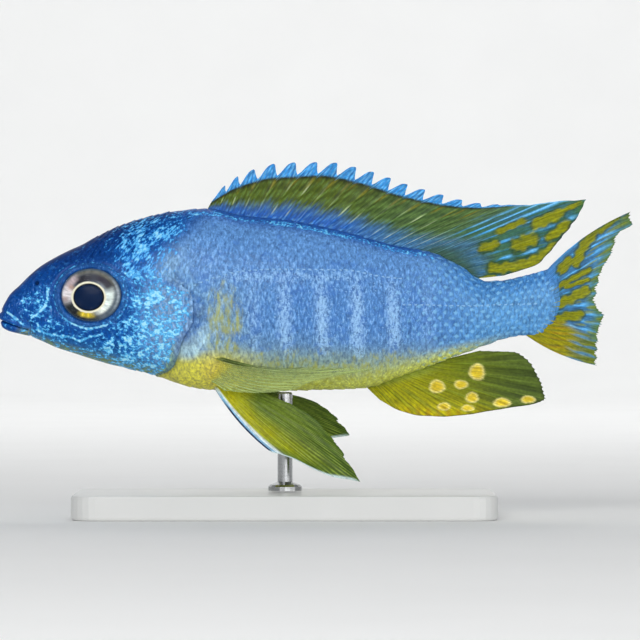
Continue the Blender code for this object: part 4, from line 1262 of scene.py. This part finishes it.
def dorsal_paint(ray, share, s, z):
    length = np.linalg.norm(dorsal_edge(ray) - dorsal_root(ray), axis=-1)
    out = share * dorsal_reach(ray, length) * length
    spines = fall(ray, 15.4, 16.4)
    flag = length - flag_size(ray) * fall(ray, 15.2, 17)
    soft = rise(ray, 15.5, 18.5)
    flags = rise(out, flag - 0.25, flag) * fall(ray, 16.6, 18.6)
    near = off_ray(ray)
    flame = 0.03 * (np.sin(ray * 4.1) + np.sin(ray * 19.7 + 1) + np.sin(ray * 31 + share * 40))
    broken = rise(np.sin(share * 23 + ray * 2.6) + np.sin(ray * 5.7), -1.2, 0.2)
    blue = fall(share + flame + 0.16 * np.minimum(near, 0.3), 0.14, 0.46)
    patchy = np.sin(ray * 7.3 + share * 11) * np.sin(ray * 13.1 - share * 17)
    number = np.round(ray)
    # Painted highlights: thin pale glints along some of the spines
    glints = 0.7 * np.sin(number * 2.3) ** 2 * np.sin(share * 12 + number)
    spine_light = spines * np.clip(0.1 + glints, 0, 0.7) * rise(share, 0.1, 0.2) * fall(share, 0.6, 0.9)
    rust = hump(share, 0.8, 0.16) * rise(np.sin(ray * 11.3) * np.sin(ray * 5.1), 0.2, 0.7)
    at_edge = rise(out, length - 1.0, length - 0.55)
    root_dashes = hump(share, 0.06, 0.04) * rise(np.sin(ray * 9.7), 0.2, 0.8)
    under_flags = hump(out + 0.12 * np.sin(ray * 25), flag - 0.4, 0.7)
    return layered(
        "#52640e",
        ("#485206", 0.8 * rise(share, 0.5, 0.8)),
        ("#466634", 0.9 * rise(ray, 7, 13)),
        ("#64843c", 0.55 * rise(patchy, 0.0, 0.6)),
        ("#22380c", 0.5 * rise(-patchy, 0.1, 0.7)),
        ("#8a7a10", 0.55 * spines * rust),
        ("#3878b4", 0.75 * blue * rise(ray, 6, 12)),
        ("#2264be", 0.95 * blue * fall(ray, 8, 15)),
        ("#5f9fd4", 0.5 * blue * rise(patchy, 0.3, 0.8)),
        ("#bccb9c", spine_light * hump(near, 0, 0.06)),
        ("#c6d6b8", 0.7 * hump(near, 0, 0.07) * hump(share, 0.22, 0.2) * hump(ray, 15.5, 5)),
        ("#3b6c56", soft * rise(share, 0.22, 0.5)),
        ("#2c6ba4", 0.6 * soft * hump(share, 0.76, 0.3) * rise(patchy, -0.4, 0.4)),
        ("#45a6ea", soft * broken * rise(share, 0.26, 0.45) * hump(near, 0.0, 0.26)),
        ("#8fd6ff", 0.85 * soft * broken * rise(share, 0.4, 0.6) * hump(near, 0.0, 0.12)),
        *blotch_paints(ray, share, blotches(s, z, ray, DORSAL_BLOTCHES)),
        ("#3c5a1c", soft * fall(share, 0.05, 0.26) * 0.8),
        ("#3f6a34", 0.8 * rise(share, 0.93, 0.99) * hump(ray, 20.3, 1.6)),
        ("#7fc9f4", at_edge * rise(ray, 13.5, 15.5) * fall(ray, 18.6, 19.8)),
        ("#6fb6f0", 0.6 * root_dashes * fall(ray, 14, 20)),
        ("#1b2704", 0.95 * under_flags * fall(ray, 16, 18)),
        ("#2c92dc", flags),
        ("#7ccaf8", flags * rise(np.sin(ray * 31 + out * 1.5), -0.1, 0.9) * 0.75),
        ("#1a5cae", flags * rise(np.sin(ray * 23 + 2 + out), 0.3, 0.95) * 0.7),
        ("#16202c", 0.8 * rise(share, 0.965, 0.995) * rise(ray, 20.6, 21.4)),
    )


membrane_resin = fin_resin("tinted fin resin")
places = dorsal_root, dorsal_edge, dorsal_reach
sheet = fin_sheet(DORSAL_RAYS, DORSAL_SPINES, 52, *places, dorsal_paint)
dorsal = new_piece("dorsal_membrane", sheet, membrane_resin)
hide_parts("dorsal_fin")
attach(dorsal, "root")


# Anal fin
# The same tinted resin over three spines and nine soft rays, set along the rear of the
# belly. Its egg spots are painted in warm yellow inside pale rings.
ANAL_RAYS = 12
ANAL_SPINES = 3
# Middle (s, z) of each spot, and half its length and height
EGG_SPOTS = (
    (95.4, 29.0, 1.6, 1.7), (87.4, 26.1, 1.6, 1.35), (92.2, 26.5, 1.4, 0.9),
    (94.4, 23.9, 1.3, 1.1), (100.4, 22.9, 1.75, 0.95), (105.6, 23.5, 1.5, 0.75),
    (93.5, 21.8, 1.3, 0.65), (88.8, 22.1, 1.3, 0.8),
)


def anal_root(ray):
    s = smooth((0, ANAL_RAYS - 1), (73.4, 90.4), ray)
    return np.stack([s, 0 * s, body_at(s)[1]], axis=-1)


anal_edge = through(
    [
        (0, 76.0, 0, 23.4), (1, 79.6, 0, 21.4), (2, 84.0, 0, 20.25), (3, 88.8, 0, 20.05),
        (5, 100.0, 0.3, 21.5), (7, 109.2, 0.5, 23.7), (8, 108.4, 0.4, 26.8),
        (10, 103.0, 0, 33.0), (11, 96.0, 0, 33.3),
    ]
)


def anal_reach(ray, length):
    ragged = 0.3 * notches(ray) * rise(ray, 6, 7)
    return 1 - (off_ray(ray) * np.where(ray < ANAL_SPINES, 0.24, 0.3) + ragged) / length


def anal_paint(ray, share, s, z):
    rings, yolks = 0, 0
    for spot_s, spot_z, half_long, half_tall in EGG_SPOTS:
        turn = np.arctan2(z - spot_z, s - spot_s)
        off = np.hypot((s - spot_s) / half_long, (z - spot_z) / half_tall)
        off = off * (1 + 0.05 * np.sin(3 * turn + spot_s) + 0.02 * np.sin(7 * turn))
        rings = np.maximum(rings, fall(off, 0.88, 1.12))
        yolks = np.maximum(yolks, fall(off, 0.55, 0.95))
    front = fall(s + 1.1 * (z - 24), 82, 102)
    near = off_ray(ray)
    streaks = rise(np.sin(ray * math.tau * 3.1 + 5 * share), 0.2, 0.9)
    return layered(
        "#506320",
        ("#6f7d0e", fall(s, 90, 106)),
        ("#a5a300", front),
        ("#ccc000", 0.8 * front * fall(z, 21.3, 24.3)),
        ("#5c5f08", 0.6 * front * streaks),
        ("#ad7d08", 0.55 * front * fall(z, 20.8, 22.4) * rise(np.sin(s * 3.1), -0.2, 0.6)),
        ("#93a43c", 0.8 * fall(share, 0.03, 0.2) * fall(s, 84, 94)),
        ("#5f7328", 0.5 * hump(near, 0, 0.2) * rise(share, 0.1, 0.4)),
        ("#2f3d10", 0.5 * hump(near, 0.4, 0.2) * rise(s, 90, 100)),
        ("#2a3a10", 0.7 * rise(share, 0.97, 1)),
        ("#33421f", 0.5 * fall(share, 0.02, 0.12) * rise(s, 84, 90)),
        ("#efe48e", 0.85 * rings),
        ("#e4ca34", yolks),
        ("#b8960c", 0.5 * yolks * rise(np.sin(ray * math.tau * 2 + 1), 0.4, 0.9)),
    )


sheet = fin_sheet(ANAL_RAYS, ANAL_SPINES, 60, anal_root, anal_edge, anal_reach, anal_paint)
anal = new_piece("anal_membrane", sheet, membrane_resin)
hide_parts("anal_fin")
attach(anal, "root")


# Tail fin
# A fan of branched rays in tinted resin, let into the end of the body and faired into it.
# The upper lobe is drawn out, and blue streaks part olive blotches all over it.
TAIL_RAYS = 17
TAIL_TOP, TAIL_FOOT = 49.8, 36.7


def tail_fan(ray):
    last = TAIL_RAYS - 1
    z = TAIL_TOP + (TAIL_FOOT - TAIL_TOP) * np.minimum(ray, last - 1) / (last - 1)
    s = smooth(TAIL_ROOT[:, 0], TAIL_ROOT[:, 1], z) + 0.3
    low = body_at(106.0)[1] - 0.2
    z = z + (low - z) * rise(ray, last - 1, last - 0.5)
    s = s + (106.4 - s) * rise(ray, last - 1, last)
    return np.stack([s, 0 * s, z], axis=-1)


tail_edge = through(
    [
        (0, 126.2, 0.8, 61.1), (1, 126.6, 0.8, 58.6), (2, 124.0, 0.8, 57.0),
        (4, 122.6, 0.6, 53.0), (6, 120.4, 0.2, 49.0), (9, 119.2, -0.4, 42.6),
        (10, 120.9, -0.5, 40.4), (12, 119.8, -0.6, 36.8), (16, 119.4, -0.4, 30.3),
    ]
)


def tail_bow(ray):
    return smooth((0, 5, 12, 16), (1.2, 0.3, 0, -0.9), ray)


def tail_reach(ray, length):
    ragged = notches(ray) * (0.6 + 0.4 * np.sin(ray * 5.3))
    return 1 - (0.6 * off_ray(ray) + 0.45 * ragged) / length


TAIL_BLOTCHES = (
    (0.95, (112.2, 49.4), (113.8, 51.2)),
    (0.95, (115.2, 50.8), (116.6, 54.0), (118.8, 56.8)),
    (0.62, (110.8, 45.4), (114.0, 47.4), (117.8, 49.4)),
    (1.0, (110.6, 42.2), (114.0, 43.6), (117.0, 45.2)),
    (0.95, (112.0, 39.8), (115.8, 40.4)),
    (0.5, (120.0, 57.0), (123.6, 60.0)),
    (0.45, (113.2, 46.0), (117.6, 47.4)),
)


def tail_paint(ray, share, s, z):
    near = off_ray(ray)
    low = rise(ray - 2.2 * (share - 0.4), 11.2, 12.6)
    broken = rise(np.sin(share * 17 + ray * 2.1) + np.sin(ray * 6.3), -1.3, 0.1)
    streaks = broken * hump(near, 0.0, 0.36)
    rear = rise(share, 0.76, 0.96)
    patches = rise(np.sin(share * 13 + ray * 4.3) + 0.6 * np.sin(ray * 11), 0.3, 1.0)
    return layered(
        "#3f7aa6",
        ("#4a8ccc", fall(share, 0.06, 0.26)),
        ("#33679a", 0.6 * hump(share, 0.5, 0.35)),
        ("#4aa6ec", 0.95 * streaks * rise(share, 0.08, 0.24) * (1 - 0.35 * rear)),
        ("#86cefa", 0.6 * broken * hump(near, 0.0, 0.15) * rise(share, 0.15, 0.3) * (1 - rear)),
        ("#577a24", 0.8 * rear),
        ("#7c8a14", 0.7 * patches * rise(share, 0.5, 0.7)),
        ("#4a9ad6", 0.7 * hump(near, 0, 0.2) * rear * broken),
        *blotch_paints(ray, share, blotches(s, z, ray, TAIL_BLOTCHES)),
        ("#9c9606", low * fall(share, 0.55, 1.0)),
        ("#6f7a12", 0.9 * low * rise(share, 0.5, 0.9)),
        ("#b08408", 0.5 * low * hump(share, 0.35, 0.3) * rise(np.sin(share * 19 + ray * 7), 0, 0.8)),
        ("#4f6420", 0.5 * low * rise(np.sin(share * 23 + ray * 9), 0.3, 0.9)),
        ("#3f86bc", 0.75 * low * hump(near, 0, 0.3) * rise(share, 0.45, 0.7) * broken),
        ("#56701c", 0.6 * rise(share, 0.95, 0.99)),
        ("#33501c", 0.6 * fall(ray, 0.05, 0.4) * rise(share, 0.3, 0.6)),
    )


shape = {"bow": tail_bow, "sink": 1.6, "flesh": 0.5}
sheet = fin_sheet(TAIL_RAYS, 0, 60, tail_fan, tail_edge, tail_reach, tail_paint, **shape)
tail = new_piece("tail_membrane", sheet, membrane_resin)
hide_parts("caudal_fin")
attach(tail, "root")


# Pectoral fins
# Long and nearly clear, each is cast over thirteen fine rays that curve back along the
# flank, and pinned into a fleshy yellow root behind the gill cover.
PECTORAL_RAYS = 13


def pectoral_bow(ray):
    return smooth((0, 2, 6, 12), (-1.2, -2.0, -1.5, 0), ray)


def pectoral_reach(ray, length):
    return 1 - 0.5 * off_ray(ray) / length


def pectoral_paint(ray, share, s, z):
    return layered(
        "#c3d88e",
        ("#ecdc08", fall(share, 0.04, 0.24)),
        ("#f0c800", 0.5 * fall(share, 0.0, 0.1)),
        ("#a5b868", 0.6 * rise(share, 0.5, 1)),
        ("#4d5f38", 0.8 * fall(ray, 0.0, 0.35) * rise(share, 0.1, 0.3)),
        ("#56682c", 0.75 * hump(off_ray(ray), 0, 0.14) * fall(ray, 5, 13) * rise(share, 0.1, 0.3)),
    )


clear_resin = fin_resin("clear fin resin", clear=0.82)
shape = {"bow": pectoral_bow, "sink": 0.9, "wave": 0.05, "flesh": 0.35}
for side, sign in (("left", -1), ("right", 1)):

    def pectoral_root(ray, sign=sign):
        s = smooth((0, PECTORAL_RAYS - 1), (41.6, 42.5), ray)
        z = smooth((0, PECTORAL_RAYS - 1), (32.9, 27.4), ray)
        _, belly, half_width, widest = body_at(s)
        low = np.clip((widest - z) / (widest - belly), 0, 1)
        wide = half_width * (1 - low**BELLY_ROUNDNESS) ** (1 / BELLY_ROUNDNESS)
        return np.stack([s, sign * (wide - 0.3), z], axis=-1)

    pectoral_edge = through(
        [
            (0, 60.0, sign * 9.2, 30.0), (1, 68.0, sign * 8.9, 29.9),
            (2, 74.4, sign * 8.4, 29.6), (4, 68.4, sign * 8.2, 28.6),
            (6, 62.0, sign * 7.9, 27.0), (8, 58.0, sign * 7.6, 25.4),
            (10, 51.0, sign * 7.2, 24.9), (12, 45.0, sign * 6.2, 25.3),
        ]
    )
    places = pectoral_root, pectoral_edge, pectoral_reach
    sheet = fin_sheet(PECTORAL_RAYS, 0, 48, *places, pectoral_paint, **shape)
    pectoral = new_piece(f"pectoral_membrane_{side}", sheet, clear_resin)
    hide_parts(f"pectoral_fin_{side}")
    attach(pectoral, "root")


# Pelvic fins
# A spine and ten branched rays each, in tinted resin, rooted under the breast. The near
# one hangs back and down, the far one spreads wider, and each has a pale leading edge.
PELVIC_RAYS = 11
PELVIC_EDGES = {
    "left": (
        (0, 54.2, -6.6, 13.2), (1, 58.0, -7.2, 12.1), (3, 66.6, -7.9, 8.3),
        (4, 72.0, -8.1, 7.3), (5, 70.2, -7.6, 10.6), (7, 66.4, -6.0, 16.0),
        (9, 61.0, -4.3, 21.2), (10, 55.4, -3.2, 23.4),
    ),
    "right": (
        (0, 54.6, 9.4, 17.8), (1, 58.6, 11.3, 16.6), (3, 66.0, 14.6, 15.4),
        (4, 70.0, 15.6, 16.0), (5, 68.8, 14.0, 18.0), (7, 65.6, 10.6, 21.2),
        (9, 61.0, 7.0, 23.6), (10, 55.2, 4.6, 24.4),
    ),
}


def pelvic_bow(ray):
    return smooth((0, 2, 5, 10), (-1.0, -0.6, 0.4, 0.4), ray)


def pelvic_reach(ray, length):
    ragged = notches(ray) * (0.5 + 0.5 * np.sin(ray * 5.1)) * rise(ray, 4, 5)
    notch = hump(ray, 5.2, 0.5)
    return 1 - (0.5 * off_ray(ray) + 0.4 * ragged + 0.8 * notch) / length


def pelvic_paint(ray, share, s, z):
    near = off_ray(ray)
    front = fall(ray, 1.5, 4.2)
    lines = rise(np.sin(ray * math.tau * 4), -0.1, 0.8)
    return layered(
        "#6c8224",
        ("#3a5814", 0.9 * rise(share, 0.45, 1)),
        ("#8c9c0a", front * fall(share, 0.7, 1)),
        ("#ccc800", front * fall(share, 0.5, 1) * 0.9),
        ("#e2dc08", 0.95 * fall(share - 0.16 * front, 0.04, 0.26)),
        ("#98740a", 0.5 * front * hump(near, 0.3, 0.14) * fall(share, 0.4, 0.8)),
        ("#a2b648", 0.6 * lines * (0.6 + 0.4 * np.sin(share * 31 + ray * 3))),
        ("#2c460c", 0.4 * (1 - lines)),
        ("#e4f2f6", fall(ray, 0.6, 0.95) * rise(share, 0.02, 0.1)),
        ("#74c0f0", 0.8 * fall(ray, 0.34, 0.55) * rise(share, 0.05, 0.2)),
        ("#0f2c54", fall(ray, 0.16, 0.28) * rise(share, 0.15, 0.35)),
        ("#d6ecec", 0.9 * rise(share, 0.96, 0.985) * fall(ray, 3.5, 4.2)),
    )


shape = {"bow": pelvic_bow, "sink": 0.9, "flesh": 0.35}
for side, sign in (("left", -1), ("right", 1)):

    def pelvic_root(ray, sign=sign):
        s = smooth((0, PELVIC_RAYS - 1), (43.2, 49.4), ray)
        y = smooth((0, PELVIC_RAYS - 1), (3.0, 2.2), ray)
        _, belly, half_width, widest = body_at(s)
        deep = (1 - (y / half_width) ** BELLY_ROUNDNESS) ** (1 / BELLY_ROUNDNESS)
        return np.stack([s, sign * y, widest - (widest - belly) * deep], axis=-1)

    places = pelvic_root, through(PELVIC_EDGES[side]), pelvic_reach
    sheet = fin_sheet(PELVIC_RAYS, 1, 60, *places, pelvic_paint, **shape)
    pelvic = new_piece(f"pelvic_membrane_{side}", sheet, membrane_resin)
    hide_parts(f"pelvic_fin_{side}")
    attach(pelvic, "root")


# Studio
# A pale seamless sweep of paper under and behind the model. One soft lamp stands by the
# camera, one low to its right, one behind the model, and one over it lights the paper.
SWEEP_WIDTH = 3.0
SWEEP_BEND = 0.5  # radius
SWEEP_FRONT, SWEEP_BACK, SWEEP_TOP = -1.6, 1.8, 2.2
FRAME_WIDTH = 128 * MM
CAMERA_DISTANCE = 0.9
CAMERA_AIM = (0.7 * MM, 0, 39.4 * MM)
MODEL = (0, 0, 0.03)

# Matt paper: a nearly even white, with no shine
paper, tree, shader, place_mm = new_material("matt background paper", {"Roughness": 0.9})
fibre = add_node(tree, "TexNoise", {"Vector": place_mm, "Scale": 0.02, "Detail": 2})["Fac"]
inputs = {0: fibre, 6: linear("#f6f6f5"), 7: linear("#fbfbfa")}
set_inputs(shader, {"Base Color": add_node(tree, "Mix", inputs, data_type="RGBA")[2]})
centre = SWEEP_BACK - SWEEP_BEND
turns = np.linspace(0, math.pi / 2, 16)
bend = [(centre + SWEEP_BEND * math.sin(a), SWEEP_BEND * (1 - math.cos(a))) for a in turns]
profile = [(SWEEP_FRONT, 0.0), (0.2, 0.0), *bend, (SWEEP_BACK, SWEEP_TOP)]
sweep_points = [(x, y, z) for y, z in profile for x in (-SWEEP_WIDTH / 2, SWEEP_WIDTH / 2)]
sweep_faces = [(2 * i, 2 * i + 1, 2 * i + 3, 2 * i + 2) for i in range(len(profile) - 1)]
sweep_mesh = bpy.data.meshes.new("paper_sweep")
sweep_mesh.from_pydata(sweep_points, [], sweep_faces)
sweep_mesh.shade_smooth()
sweep_object = new_piece("paper_sweep", sweep_mesh, paper)

# Place of each lamp, what it is aimed at, its size in metres and its power in watts
for name, position, target, size, power in (
    ("key_lamp", (-0.25, -0.85, 0.42), MODEL, 0.5, 4.0),
    ("fill_lamp", (0.5, -0.75, 0.05), MODEL, 0.6, 3.9),
    ("rim_lamp", (0.2, 0.9, 1.1), MODEL, 0.5, 2.0),
    ("paper_lamp", (0.0, 0.5, 1.5), (0, 1.8, 1.0), 1.0, 16.0),
):
    light = bpy.data.lights.new(name, "AREA")
    light.size = size
    light.energy = power
    lamp = new_object(name, light)
    lamp.location = position
    lamp.rotation_euler = (Vector(target) - lamp.location).to_track_quat("-Z", "Y").to_euler()

world = bpy.data.worlds.new("studio")
world.use_nodes = True
inputs = {"Color": linear("#f2f5f8"), "Strength": 0.33}
set_inputs(world.node_tree.nodes["Background"], inputs)
bpy.context.scene.world = world
bpy.context.scene.view_settings.view_transform = "Standard"

lens = bpy.data.cameras.new("camera")
lens.lens = lens.sensor_width * CAMERA_DISTANCE / FRAME_WIDTH
lens.clip_end = 10
camera = new_object("camera", lens)
camera.location = (CAMERA_AIM[0], -CAMERA_DISTANCE, CAMERA_AIM[2])
camera.rotation_euler = (math.pi / 2, 0, 0)
bpy.context.scene.camera = camera
